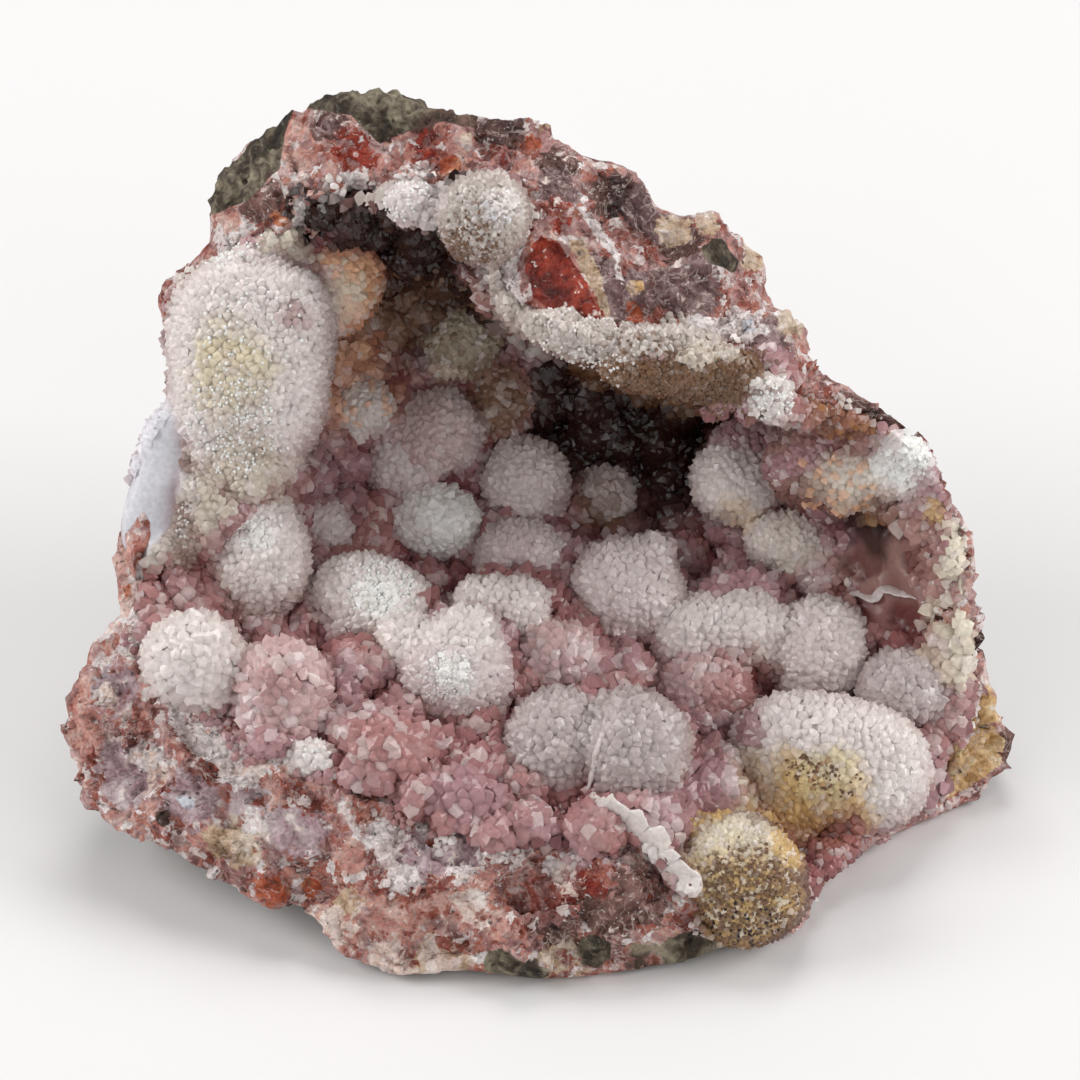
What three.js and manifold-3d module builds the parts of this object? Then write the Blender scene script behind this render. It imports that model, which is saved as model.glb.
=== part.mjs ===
// A chalcedony geode, broken open: a rock shell of banded jasper and agate with a weathered skin,
// and the crust of drusy chalcedony that lines its hollow and swells into crystal knobs.
// Millimetres, +Z up. The stone lies as it rests, its mouth facing -Y and tipped up.
//
// Everything is laid out in the mouth's own axes first: u across, v up the mouth, w out of it.
// Places are given as seen from EYE in front of the mouth's middle, and sight() gives the true place.
import * as THREE from "three";
import { ImprovedNoise } from "three/addons/math/ImprovedNoise.js";
import { mergeVertices } from "three/addons/utils/BufferGeometryUtils.js";
import Module from "manifold-3d";

const wasm = await Module();
wasm.setup();
const { degToRad, lerp, clamp, smoothstep, euclideanModulo } = THREE.MathUtils;

// ---- driving dimensions ----
const MOUTH_TILT = degToRad(38); // how far the mouth's axis points above the horizon
const MIDDLE = [-0.7, -11.9, 49.5]; // the mouth's middle in the part's frame
const EYE = 900; // from the mouth's middle to the point that places are seen from
const HOLLOW_POLE = [8, 8, -49]; // where the hollow's wall closes, inside
const BACK_POLE = [0, -8, -61]; // where the outer skin closes, behind
const RIM_ROWS = 4;
const HOLLOW_ROWS = 7;
const SKIN_ROWS = 9;
const BACK_ROUNDNESS = 2.1; // the skin's swell behind: 1 is a straight cone, 2 a round dome
const BASE_ROUNDNESS = 1.05;
const CRUST_THICKNESS = 2.6;
const CRUST_ROOT = 0.8; // how far the lining starts inside the rock, before the rock is cut from it
const EDGE_THICKNESS = 0.4; // of the lining where it meets the broken rim, as a share
const WELD = 0.001; // corners nearer than this are one
const FIT_GAP = 0.4; // kept between the rock and the crust

// Where the weathered skin turns over the broken edge: angle and spread in degrees, then width.
const SKIN_BANDS = [
  [123, 20, 5], // top left
  [284, 17, 3.5], // along the base
];
const NARROWEST_BAND = 0.6;

// The stone's outer edge, counter-clockwise from the right: u, v, w.
const OUTER_EDGE = [
  [65, 3, -18], [60, 8, -16], [58, 14, -14], [54, 19, -13], [46, 23, -12], [41, 26, -11],
  [39, 30, -11], [34, 36, -12], [33, 42, -14], [27, 49, -15], [18, 49, -12], [15, 54, -12],
  [8, 57, -12], [2, 62, -13], [-7, 64, -14], [-16, 65, -15], [-23, 68, -17], [-34, 67, -18],
  [-38, 64, -18], [-42, 60, -18], [-50, 54, -20], [-49, 49, -18], [-50, 44, -17], [-58, 37, -17],
  [-54, 21, -16], [-58, 12, -15], [-62, 7, -14], [-64, -3, -13], [-63, -11, -13], [-68, -16, -12],
  [-73, -28, -10], [-70, -40, -8], [-59, -45, -5], [-51, -51, -3], [-41, -55, 0], [-34, -56, 2],
  [-31, -62, 4], [-21, -66, 5], [-10, -65, 5], [0, -67, 5], [11, -66, 4], [22, -64, 3],
  [32, -61, 1], [40, -59, -3], [43, -52, -10], [51, -46, -19], [60, -42, -25], [67, -39, -27],
  [73, -31, -28], [69, -26, -24], [67, -17, -22], [65, -9, -20], [66, -3, -19],
];

// The mouth's edge, where the broken rim meets the crystals: u, v, w, then how steeply the wall
// falls away behind it, and how far it is undercut.
const MOUTH_EDGE = [
  [64, 1, -17, 1.9, 0], [60, 10, -15, 2, 0], [56, 17, -12, 2.2, 0], [43, 19, -9, 2.4, 0.2],
  [35, 21, -5, 2.6, 0.6], [30, 22.5, -3, 2.8, 1], [19, 25, 0, 2.8, 1.2], [10, 29, 1, 2.8, 1.2],
  [1, 31, 1, 2.8, 0.9], [-4, 35, 0, 2.6, 0.6], [-6, 40, -3, 2.6, 0.4], [-9, 44, -6, 2.5, 0.2],
  [-14, 49, -8, 2.5, 0.1], [-21, 52, -10, 2.5, 0.1], [-29, 52, -11, 2.5, 0], [-36, 49, -12, 2.4, 0],
  [-42, 46, -13, 2.3, 0], [-49, 42, -14, 2.2, 0], [-56, 36, -15, 2.2, 0], [-54, 20, -14, 2.2, 0],
  [-57, 11, -13, 2, 0], [-60, 0, -11, 2, 0], [-59, -6, -10, 1.8, 0], [-60, -12, -9, 1.7, 0],
  [-57, -21, -5, 1.5, 0], [-47, -27, 0, 1.3, 0], [-39, -34, 3, 1.2, 0], [-30, -35, 3, 1.1, 0],
  [-21, -41, 5, 1, 0], [-10, -46, 7, 1, 0], [7, -46, 7, 1, 0], [15, -44, 6, 1, 0],
  [22, -53, 6, 1, 0], [31, -58, 3, 1.1, 0], [41, -54, -6, 1.2, 0], [49, -45, -15, 1.4, 0],
  [59, -40, -22, 1.6, 0], [62, -33, -23, 1.7, 0], [65, -24, -22, 1.8, 0], [65, -15, -20, 1.8, 0],
  [64, -6, -18, 1.9, 0],
];

// The crystal knobs: u, v, radius, then length over width, the turn of the length in degrees, and
// how far the knob's middle stands off the wall, as a share of its radius.
const KNOBS = [
  [-25, -11, 7.6, 1.3, -20], // three grown into one, in the middle of the floor
  [-12.5, -19, 7.9],
  [-7, -12.5, 6, 1.35, 5],
  [3, -19, 6.3, 1, 0, 0.4],
  [13, -7.5, 7.9, 1, 0, 0.6],
  [-2, 8.7, 6.6, 1, 0, 0.6],
  [-15, 2.7, 5.6, 1.15, 0, 0.6],
  [-3, -2, 5.4, 1.15, 0, 0.6],
  [9.5, 6.3, 4.7],
  [-6, 21, 4.8, 1.3, 90],
  [-16.5, 15, 7.6, 1.1, 45, 0.4],
  [-42, -2.6, 7.1, 1.2, 90, 0.6],
  [-26.7, 19.8, 4.1, 1, 0, 0.6],
  [-31.5, 38, 6.9, 1.1, 90, 0.3],
  [-44, 28.5, 12.5, 1.25, 78, 0.3], // the great pillow on the left wall
  [-46, 10.5, 10, 1.5, 75, 0.15],
  [29.7, 9, 7, 1, 0, 0.7], // under the lip, at the right
  [47.5, 10.5, 6.4, 1.6, 5, 0.8],
  [-8.2, 48.3, 7, 1, 0, 0.3], // on the broken rim above the mouth
  [-52.5, -18, 6.8],
  [-38.5, -22.8, 6.8],
  [27, -15, 8.2, 1.2, 8, 0.6], // the long back of the ridge at the right
  [41.7, -17.3, 7.9, 1, 0, 0.5],
  [25, -23.5, 6.2, 1, 0, 0.3],
  [55, -22.5, 6.3, 1, 0, 0.4],
  [43.5, -34, 10, 1.45, -15, 0.5], // the two iron-stained knobs, low on the right
  [31, -52, 8.8, 1, 0, 0.3],
  [4.2, -29.3, 7],
  [13, -31.5, 8.9, 1, 0, 0.5],
  [38, -2.3, 5.6, 1, 0, 0.4],
  [-11.3, 30.3, 5.6, 1, 0, 0.4],
  [-23.5, -32, 5.8, 1.4, -25, 0.3],
  [-10.5, -38, 5.2, 1.3, -10, 0.1],
  [26, -37.5, 5.8, 1, 0, 0.2],
  [4, 31.8, 2.7, 2.6, -14, 0.6], // the druse that hangs from the lip
  [18.5, 27, 4.8, 1.8, -14, 0.5],
  [30.5, 24.3, 5, 1.5, -4, 0.5],
  [-19, 50.5, 3.6, 1.3],
  [-28, -22, 5, 1.2, 30, 0.3],
];
const COARSE_KNOB = 7.5; // radius below which a knob has fewer, larger crystal points

// Thin upright fins of chalcedony: width, then the places along the crest.
const FINS = [
  [1.8, [7, -38], [11, -40.5], [15, -42.5], [18, -46], [20.5, -49.5], [23, -53]],
  [1.5, [33.5, 1.5], [38.5, -0.5], [42, -5], [44.5, -11]],
  [1.4, [10, -27], [9.5, -31.5], [6.5, -36]],
];
const FIN_HEIGHT = 7;

// Single crystals scattered between the knobs, on a loose grid.
const CRYSTAL_SPACING = 16;
const CRYSTAL_RADIUS = 2.6;
const CRYSTAL_HEIGHT = 4.6;
const CRYSTAL_STAND = 1.5; // of a crystal's middle off the rock

// Swellings and dents of the hollow's wall: u, v, reach, and height along w.
const WALL_SWELLS = [
  [22, 13, 13, -7], // the dark pocket under the lip
  [-24, 26, 14, -3],
  [-44, 18, 12, 6], // the left wall stands forward under its pillow
  [48, 4, 10, -4],
  [0, -28, 16, 2],
];

// Swellings of the skin behind, which keep the wall whole: u, v, w, reach and height.
const SKIN_SWELLS = [
  [30, 17, -45, 26, 8], // behind the dark pocket
  [-42, 52, -28, 16, 3], // behind the roof, at the left
];

// How the rock is roughened: the reach of a lump and how far it swells or sinks.
const SKIN_LUMPS = [[30, 5.5], [12, 3.2]];
const HOLLOW_LUMPS = [14, 3];
const CRUST_LUMPS = [4.5, 1.5]; // the swell is a share of the crust's thickness
const RIM_LEDGES = [8, 3];

const noise = new ImprovedNoise();
const wobble = (p, scale, seed) => noise.noise(p.x / scale + seed, p.y / scale + seed, p.z / scale);

// ---- the mouth's axes and the part's frame ----
const sight = (u, v, w) => new THREE.Vector3(u * (1 - w / EYE), v * (1 - w / EYE), w);
const toFrame = new THREE.Matrix4()
  .makeTranslation(...MIDDLE)
  .multiply(new THREE.Matrix4().makeRotationX(Math.PI / 2 - MOUTH_TILT));

// ---- rings ----
const angleOf = ([u, v]) => euclideanModulo(Math.atan2(v, u), 2 * Math.PI);

// A closed list of rows, read where a ray at this angle meets the edge between two of them.
function readAt(rows, angle) {
  const turnTo = (row) => euclideanModulo(angleOf(row) - angle + Math.PI, 2 * Math.PI) - Math.PI;
  for (let i = 0; i < rows.length; i++) {
    const [p, q] = [rows[i], rows[(i + 1) % rows.length]];
    const [a, b] = [turnTo(p), turnTo(q)];
    if (a <= 0 && b > 0 && b - a < Math.PI) {
      const near = Math.hypot(p[0], p[1]) * Math.sin(-a);
      const far = Math.hypot(q[0], q[1]) * Math.sin(b);
      return p.map((value, k) => lerp(value, q[k], near / (near + far)));
    }
  }
  throw new Error(`no edge lies at angle ${angle}`);
}

// Rows averaged over their neighbours, so that the edge's own notches die away.
const NEIGHBOURS = [1, 2, 3, 4, 5, 4, 3, 2, 1];
function smoothed(rows) {
  const total = NEIGHBOURS.reduce((sum, share) => sum + share);
  const first = (NEIGHBOURS.length - 1) / 2;
  const near = (j, i) => rows[euclideanModulo(j + i - first, rows.length)];
  const mean = (j, k) => NEIGHBOURS.reduce((sum, share, i) => sum + share * near(j, i)[k], 0) / total;
  return rows.map((row, j) => row.map((_, k) => mean(j, k)));
}
const blended = (row, even, share) => row.map((value, k) => lerp(value, even[k], share));

const outer = OUTER_EDGE;
const angles = outer.map(angleOf);
const COLUMNS = angles.length;
const mouth = angles.map((angle) => readAt(MOUTH_EDGE, angle));
const evenOuter = smoothed(outer);
const evenMouth = smoothed(mouth);
const evenness = (share) => smoothstep(share, 0.05, 0.5);

const skinBand = angles.map((angle) => {
  const fading = ([at, spread]) => Math.exp(-(((angle - degToRad(at)) / degToRad(spread)) ** 2));
  return SKIN_BANDS.reduce((sum, band) => sum + band[2] * fading(band), NARROWEST_BAND);
});

// The broken rim, from the outer edge (share 0) to the mouth's edge (share 1), stepped in ledges.
function rimPoint(j, share) {
  const [u, v, w] = outer[j];
  const band = skinBand[j];
  const inset = 1 - band / Math.hypot(u, v);
  const edge = [u * inset, v * inset, w + band * 0.9];
  const [pu, pv, pw] = blended(edge, mouth[j], share);
  const width = Math.hypot(edge[0] - mouth[j][0], edge[1] - mouth[j][1]);
  const middle = Math.sin(Math.PI * share);
  const p = sight(pu, pv, pw);
  const [reach, height] = RIM_LEDGES;
  const ledge = clamp(3 * wobble(p, reach, 3), -1, 1) * Math.min(height, width / 6);
  p.z += 0.12 * width * middle + ledge * Math.sin(Math.PI * Math.min(1, share + 0.15));
  return p;
}

// The hollow's wall, from the mouth's edge (depth 0) to its pole (depth 1).
function hollowPoint(j, depth) {
  const [u, v, w, steep, undercut] = blended(mouth[j], evenMouth[j], evenness(depth));
  const inward = depth - undercut * 4 * depth * (1 - depth) ** 2;
  const fall = 1 - (1 - depth) ** steep;
  const [poleU, poleV, poleW] = HOLLOW_POLE;
  const p = sight(lerp(u, poleU, inward), lerp(v, poleV, inward), lerp(w, poleW, fall));
  for (const [su, sv, reach, height] of WALL_SWELLS) {
    p.z += height * Math.exp(-((p.x - su) ** 2 + (p.y - sv) ** 2) / reach ** 2) * Math.min(1, 4 * depth);
  }
  const [lump, swell] = HOLLOW_LUMPS;
  p.z += wobble(p, lump, 7) * swell * Math.min(1, 5 * depth);
  return p;
}

// The weathered skin, from the outer edge (turn 0) to the back pole (turn 1).
function skinPoint(j, turn) {
  const [u, v, w] = blended(outer[j], evenOuter[j], evenness(turn));
  const roundness = lerp(BACK_ROUNDNESS, BASE_ROUNDNESS, Math.max(0, -Math.sin(angles[j])));
  const out = Math.cos((turn * Math.PI) / 2) ** (2 / roundness);
  const back = Math.sin((turn * Math.PI) / 2) ** (2 / roundness);
  const [poleU, poleV, poleW] = BACK_POLE;
  const p = sight(lerp(poleU, u, out), lerp(poleV, v, out), lerp(w, poleW, back));
  const away = new THREE.Vector3(p.x, p.y, p.z + 20).normalize();
  const rough = SKIN_LUMPS.reduce((sum, [reach, height]) => sum + wobble(p, reach, 11) * height, 0);
  const swells = SKIN_SWELLS.map(([su, sv, sw, reach, height]) => {
    const distance = p.distanceTo(new THREE.Vector3(su, sv, sw));
    return height * Math.exp(-((distance / reach) ** 2));
  });
  const swell = swells.reduce((sum, height) => sum + height);
  return p.addScaledVector(away, (rough + swell) * Math.min(1, 3 * turn));
}

// ---- closed surfaces from rings ----
// The rings run from one pole to the other, with COLUMNS points in each.
function loft(first, rings, last) {
  const points = [first, ...rings.flat(), last];
  const index = [];
  const at = (ring, j) => 1 + ring * COLUMNS + (j % COLUMNS);
  for (let j = 0; j < COLUMNS; j++) {
    index.push(0, at(0, j + 1), at(0, j));
    for (let i = 0; i + 1 < rings.length; i++) {
      index.push(at(i, j), at(i + 1, j + 1), at(i + 1, j));
      index.push(at(i, j), at(i, j + 1), at(i + 1, j + 1));
    }
    index.push(points.length - 1, at(rings.length - 1, j), at(rings.length - 1, j + 1));
  }
  return meshed(points, index);
}

function meshed(points, index) {
  const geometry = new THREE.BufferGeometry().setFromPoints(points);
  geometry.setIndex(index);
  geometry.computeVertexNormals();
  return geometry;
}

const steps = (count, from, to) => Array.from({ length: count }, (_, i) => lerp(from, to, i / (count - 1)));
const ringsOf = (shares, point) => shares.map((s) => angles.map((_, j) => point(j, s)));
const sumOf = (points) => points.reduce((sum, p) => sum.add(p), new THREE.Vector3());
const meanOf = (points) => sumOf(points).divideScalar(points.length);

function shellGeometry() {
  const skin = ringsOf(steps(SKIN_ROWS, 0.93, 0), skinPoint);
  const rim = ringsOf(steps(RIM_ROWS, 0, 1), rimPoint);
  const hollow = ringsOf(steps(HOLLOW_ROWS, 0.08, 0.9), hollowPoint);
  return loft(meanOf(skin[0]), [...skin, ...rim, ...hollow], meanOf(hollow[HOLLOW_ROWS - 1]));
}

// The point of a geometry at place k, moved out along its normal.
function outFrom(geometry, k, distance) {
  const p = new THREE.Vector3().fromBufferAttribute(geometry.getAttribute("position"), k);
  const n = new THREE.Vector3().fromBufferAttribute(geometry.getAttribute("normal"), k);
  return p.addScaledVector(n, distance(p));
}

function grownBy(geometry, distance) {
  const count = geometry.getAttribute("position").count;
  const points = Array.from({ length: count }, (_, k) => outFrom(geometry, k, () => distance));
  return meshed(points, [...geometry.index.array]);
}

// ---- solids ----
function solidOf(geometry) {
  const plain = geometry.clone();
  plain.deleteAttribute("normal");
  plain.deleteAttribute("uv");
  const merged = mergeVertices(plain, WELD);
  const mesh = new wasm.Mesh({
    numProp: 3,
    vertProperties: new Float32Array(merged.getAttribute("position").array),
    triVerts: new Uint32Array(merged.index.array),
  });
  return new wasm.Manifold(mesh);
}

function geometryOf(solid) {
  const mesh = solid.getMesh();
  const geometry = new THREE.BufferGeometry();
  geometry.setAttribute("position", new THREE.BufferAttribute(new Float32Array(mesh.vertProperties), 3));
  geometry.setIndex(new THREE.BufferAttribute(new Uint32Array(mesh.triVerts), 1));
  return geometry;
}

const joined = (solids) => solids.reduce((all, solid) => all.add(solid));
const largestBody = (solid) => solid.decompose().reduce((a, b) => (b.volume() > a.volume() ? b : a));

// ---- places on the rock ----
const rockGeometry = shellGeometry();
const rockMesh = new THREE.Mesh(rockGeometry);
const eye = new THREE.Vector3(0, 0, EYE);

// Where the line of sight through u, v meets the rock, with the way the rock faces there.
function seenPoint(u, v) {
  const along = new THREE.Vector3(u, v, 0).sub(eye).normalize();
  const [hit] = new THREE.Raycaster(eye, along).intersectObject(rockMesh);
  return { point: hit.point, along, normal: hit.face.normal };
}

// ---- the crystal crust ----
function rawBall(detail) {
  const ball = new THREE.IcosahedronGeometry(1, detail);
  ball.deleteAttribute("normal");
  ball.deleteAttribute("uv");
  return mergeVertices(ball);
}

function cornersOf(ball) {
  const place = ball.getAttribute("position");
  return Array.from({ length: place.count }, (_, i) => new THREE.Vector3().fromBufferAttribute(place, i));
}

function faceMiddles(ball) {
  const corners = cornersOf(ball);
  const faces = Array.from({ length: ball.index.count / 3 }, (_, i) => 3 * i);
  return faces.map((i) => meanOf([0, 1, 2].map((k) => corners[ball.index.getX(i + k)])).normalize());
}
const crystalPoints = [...cornersOf(rawBall(0)), ...faceMiddles(rawBall(0))];

// A ball of crystal points: those of its corners that lie on crystalPoints stand out, the rest sink.
function crystalBall(detail, seed) {
  const ball = rawBall(detail);
  const points = cornersOf(ball).map((p) => {
    const raised = crystalPoints.some((tip) => tip.distanceTo(p) < 0.05);
    return p.multiplyScalar((raised ? 1.15 : 1) + 0.1 * wobble(p, 0.3, seed));
  });
  return meshed(points, [...ball.index.array]);
}

function knob([u, v, radius, stretch = 1, turn = 0, stand = 0.5]) {
  const ball = crystalBall(radius < COARSE_KNOB ? 1 : 2, u);
  const { point, along } = seenPoint(u, v);
  const middle = point.addScaledVector(along, -radius * stand);
  ball.scale(radius * stretch, radius, radius).rotateZ(degToRad(turn));
  return solidOf(ball.translate(middle.x, middle.y, middle.z));
}

// A fin: upright double-pointed plates along a crest, each overlapping the next.
function fin([width, ...crest]) {
  const roots = crest.map(([u, v]) => seenPoint(u, v).point);
  const plates = roots.slice(1).map((root, i) => {
    const span = root.clone().sub(roots[i]);
    const height = FIN_HEIGHT * (1 + 0.2 * Math.cos(3 * i));
    const plate = new THREE.OctahedronGeometry(1).scale(span.length() * 0.9, height, width);
    const across = new THREE.Vector3().crossVectors(span, new THREE.Vector3(0, 0, 1)).normalize();
    const up = new THREE.Vector3().crossVectors(across, span).normalize();
    const axes = new THREE.Matrix4().makeBasis(span.clone().normalize(), up, across);
    const middle = roots[i].clone().add(root).divideScalar(2);
    return solidOf(plate.applyMatrix4(axes).translate(middle.x, middle.y, middle.z));
  });
  return joined(plates);
}

// Single six-sided crystals, standing out of the wall wherever the loose grid finds the hollow.
function scatteredCrystals() {
  const crystals = [];
  const upright = new THREE.Vector3(0, 1, 0);
  for (let row = -5; row <= 5; row++) {
    for (let column = -6; column <= 6; column++) {
      const shift = new THREE.Vector3(row * 3.1, column * 4.7, 1);
      const u = (column + 0.8 * wobble(shift, 1.3, 2) + 0.5 * (row % 2)) * CRYSTAL_SPACING;
      const v = (row + 0.8 * wobble(shift, 1.3, 9)) * CRYSTAL_SPACING - 4;
      const [edgeU, edgeV] = readAt(MOUTH_EDGE, Math.atan2(v, u));
      if (Math.hypot(u, v) > Math.hypot(edgeU, edgeV) - 3) continue;
      const size = 1 + 0.6 * wobble(shift, 0.7, 4);
      const { point, normal } = seenPoint(u, v);
      const crystal = new THREE.ConeGeometry(CRYSTAL_RADIUS * size, 2 * CRYSTAL_HEIGHT * size, 6);
      crystal.applyQuaternion(new THREE.Quaternion().setFromUnitVectors(upright, normal));
      const middle = point.addScaledVector(normal, CRYSTAL_STAND);
      crystals.push(solidOf(crystal.translate(middle.x, middle.y, middle.z)));
    }
  }
  return crystals;
}

// The lining: the hollow's wall, thickened towards the inside and rooted in the rock.
function lining() {
  const firstRing = SKIN_ROWS + RIM_ROWS - 1;
  const ring = (i, distance) =>
    angles.map((_, j) => outFrom(rockGeometry, 1 + (firstRing + i) * COLUMNS + j, distance));
  const [reach, swell] = CRUST_LUMPS;
  const lumpy = (p, i) => 1 + swell * wobble(p, reach, 2) * (1 - (i / HOLLOW_ROWS) ** 2);
  const taper = (i) => Math.min(1, EDGE_THICKNESS + i / 4);
  const thickness = (i) => (p) => CRUST_THICKNESS * taper(i) * Math.max(0.3, lumpy(p, i));
  const rows = Array.from({ length: HOLLOW_ROWS + 1 }, (_, i) => i);
  const front = rows.map((i) => ring(i, thickness(i)));
  const back = rows.map((i) => ring(i, () => -CRUST_ROOT)).reverse();
  return solidOf(loft(meanOf(back[0]), [...back, ...front], meanOf(front[HOLLOW_ROWS])));
}

function crust() {
  const whole = joined([lining(), ...KNOBS.map(knob), ...FINS.map(fin), ...scatteredCrystals()]);
  const room = joined([0, FIT_GAP].map((gap) => solidOf(grownBy(rockGeometry, gap))));
  const body = largestBody(whole.subtract(room)).transform(toFrame.elements);
  return largestBody(solidOf(geometryOf(body))); // specks can part from it as corners are welded
}

// ---- the part ----
function rockShell() {
  const below = solidOf(new THREE.BoxGeometry(400, 400, 100).translate(0, 0, -50));
  return solidOf(rockGeometry).transform(toFrame.elements).subtract(below);
}

const geode = new THREE.Group();
const rock = new THREE.Mesh(
  geometryOf(rockShell()),
  new THREE.MeshStandardMaterial({ color: 0x9a5a4c, roughness: 0.6 }),
);
rock.name = "rock_shell";
const crystals = new THREE.Mesh(
  geometryOf(crust()),
  new THREE.MeshStandardMaterial({ color: 0xcfc4c6, roughness: 0.35 }),
);
crystals.name = "crystal_crust";
geode.add(rock, crystals);
export default geode;
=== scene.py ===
"""A chalcedony geode, broken open: jasper and agate rock, and a hollow lined with drusy chalcedony.

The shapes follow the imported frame. Lengths are in millimetres until a mesh is made, which is in
metres. Places on the stone are named as the camera sees them: px across and py down in a square
picture of 1080 pixels, and each is carried onto the surface that lies there.
"""

import math

import bmesh
import bpy
import numpy as np
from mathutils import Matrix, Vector, noise
from mathutils.bvhtree import BVHTree


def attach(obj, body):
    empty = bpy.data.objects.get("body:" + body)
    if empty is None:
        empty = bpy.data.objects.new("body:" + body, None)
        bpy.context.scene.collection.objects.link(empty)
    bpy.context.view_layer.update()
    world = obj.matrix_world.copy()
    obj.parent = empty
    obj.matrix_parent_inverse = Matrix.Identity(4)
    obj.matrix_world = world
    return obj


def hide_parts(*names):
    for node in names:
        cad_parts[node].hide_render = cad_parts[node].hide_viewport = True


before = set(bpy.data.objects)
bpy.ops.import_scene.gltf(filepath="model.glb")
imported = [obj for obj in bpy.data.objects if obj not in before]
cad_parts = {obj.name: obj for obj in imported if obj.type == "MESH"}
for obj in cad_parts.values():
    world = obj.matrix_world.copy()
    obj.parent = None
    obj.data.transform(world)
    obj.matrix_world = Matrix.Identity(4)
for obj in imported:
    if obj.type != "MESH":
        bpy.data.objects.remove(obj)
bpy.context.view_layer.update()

MM = 0.001
SEED = 7

# ---- the camera, which also says where each named place lies, in mm ----
PICTURE = 1080
PIXEL = 0.15  # of the mouth's middle plane behind one pixel
MOUTH_TILT = math.radians(38)
MIDDLE = np.array([-0.7, -11.9, 49.5])
EYE_DISTANCE = 900
LENS = 200
SENSOR = 36
RIGHT = np.array([1.0, 0.0, 0.0])
UP = np.array([0.0, math.sin(MOUTH_TILT), math.cos(MOUTH_TILT)])
OUT = np.array([0.0, -math.cos(MOUTH_TILT), math.sin(MOUTH_TILT)])
EYE = MIDDLE + EYE_DISTANCE * OUT

# ---- how fine the surfaces are, in mm ----
ROCK_VOXEL = 1.3
LINING_VOXEL = 0.9
CRUST_VOXEL = 1.0
FLOOR_LUMPS = [(6.5, 3.6), (3.2, 1.5)]  # reach and height of the lumps between the knobs
FLOOR_SINK = 2.3  # how far the lining is kept back between the knobs
LINING_ROOT = 1.6  # how far the lining is let into the rock behind it
NO_ROCK_WITHIN = 3.0  # in front of a surface that looks into the open
SKIN_COVER = 1.5  # of rock that is left between the lining and the outer skin
FACE_COVER = 2.0  # and between the lining and the jasper face
LINING_SMOOTHING = 10  # rounds
KNOB_SMOOTHING = 3
ROCK_SMOOTHING = 4
OUTER_SKIN = 0.35  # share of rim below which the rock's surface is its outer skin
PAST_HIT = 0.01  # how far behind a surface the search for the next one begins

rng = np.random.default_rng(SEED)


def linear(code):
    """A colour given as a web code, as linear red, green and blue."""
    share = [int(code[i:i + 2], 16) / 255 for i in (0, 2, 4)]
    return np.array([c / 12.92 if c <= 0.04045 else ((c + 0.055) / 1.055) ** 2.4 for c in share])


# The near-black and the deep colour are painted shade for the darkest parts of the hollow; umber and brown
# serve both as painted shade there and as the stone's own colour.
COLOURS = {name: linear(code) for name, code in {
    "white": "ebe3de", "milk": "e0d5d2", "lilac": "b0888c", "pink": "b07f7c", "rose": "9c5f5e",
    "cream": "ebe1cd", "peach": "f6bf98", "straw": "e0bd80", "brown": "80604a", "umber": "2e170f",
    "olive": "a79c86", "deep": "38211e", "bluish": "efeff6", "sage": "cfc3b4", "lemon": "e6d8ae",
    "mauve": "b38d84", "rust": "8a5a42", "drab": "75553b", "blush": "d1b2b1", "frost": "fffffb",
    "ash": "c4b9b1", "cavity_shade": "1c0d0a", "amber": "b07a4c", "speck": "7e5e46", "haze": "c0b6b3",
}.items()}


# ---- places and surfaces ----
def smoothstep(value, low, high):
    share = np.clip((value - low) / (high - low), 0, 1)
    return share * share * (3 - 2 * share)


def unit(vectors):
    return vectors / np.maximum(np.linalg.norm(vectors, axis=1), 1e-9)[:, None]


def sight(px, py):
    """The direction from the eye through a pixel."""
    u = (px - PICTURE / 2) * PIXEL
    v = (PICTURE / 2 - py) * PIXEL
    away = MIDDLE + u * RIGHT + v * UP - EYE
    return away / np.linalg.norm(away)


def tree_of(points, faces):
    return BVHTree.FromPolygons([Vector(p) for p in points], [list(f) for f in faces])


def place(tree, px, py):
    """The point of a surface that the eye sees at a pixel, or None."""
    hit = tree.ray_cast(Vector(EYE), Vector(sight(px, py)))[0]
    return None if hit is None else np.array(hit)


def pixels_of(points):
    """Where the eye sees each point, across and down the picture."""
    away = points - EYE
    scale = -EYE_DISTANCE / ((away @ OUT) * PIXEL)
    return PICTURE / 2 + (away @ RIGHT) * scale, PICTURE / 2 - (away @ UP) * scale


def within(points, outline):
    """How far inside an outline each point is seen, in pixels: below 0 outside it."""
    x, y = pixels_of(points)
    nearest = np.full(len(points), np.inf)
    enclosed = np.zeros(len(points), dtype=bool)
    for (ax, ay), (bx, by) in zip(outline, outline[1:] + outline[:1]):
        run, drop = bx - ax, by - ay
        along = np.clip(((x - ax) * run + (y - ay) * drop) / (run ** 2 + drop ** 2), 0, 1)
        nearest = np.minimum(nearest, np.hypot(x - ax - along * run, y - ay - along * drop))
        if drop:
            enclosed ^= ((ay > y) != (by > y)) & (x < ax + (y - ay) * run / drop)
    return np.where(enclosed, nearest, -nearest)


def inside(points, outline, low, high):
    """How far each point is seen inside an outline, from 0 to 1 between two distances in pixels."""
    return smoothstep(within(points, outline), low, high)


def arrays_of(mesh):
    """A mesh's corners in millimetres and its faces' corner numbers, all faces being triangles."""
    mesh.calc_loop_triangles()
    points = np.empty(len(mesh.vertices) * 3)
    mesh.vertices.foreach_get("co", points)
    faces = np.empty(len(mesh.loop_triangles) * 3, dtype=np.int64)
    mesh.loop_triangles.foreach_get("vertices", faces)
    return points.reshape(-1, 3) / MM, faces.reshape(-1, 3)


def mesh_of(name, points, faces, smooth=True):
    """A mesh of triangles from corners in millimetres."""
    mesh = bpy.data.meshes.new(name)
    mesh.from_pydata(points * MM, [], faces, shade_flat=not smooth)
    return mesh


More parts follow.
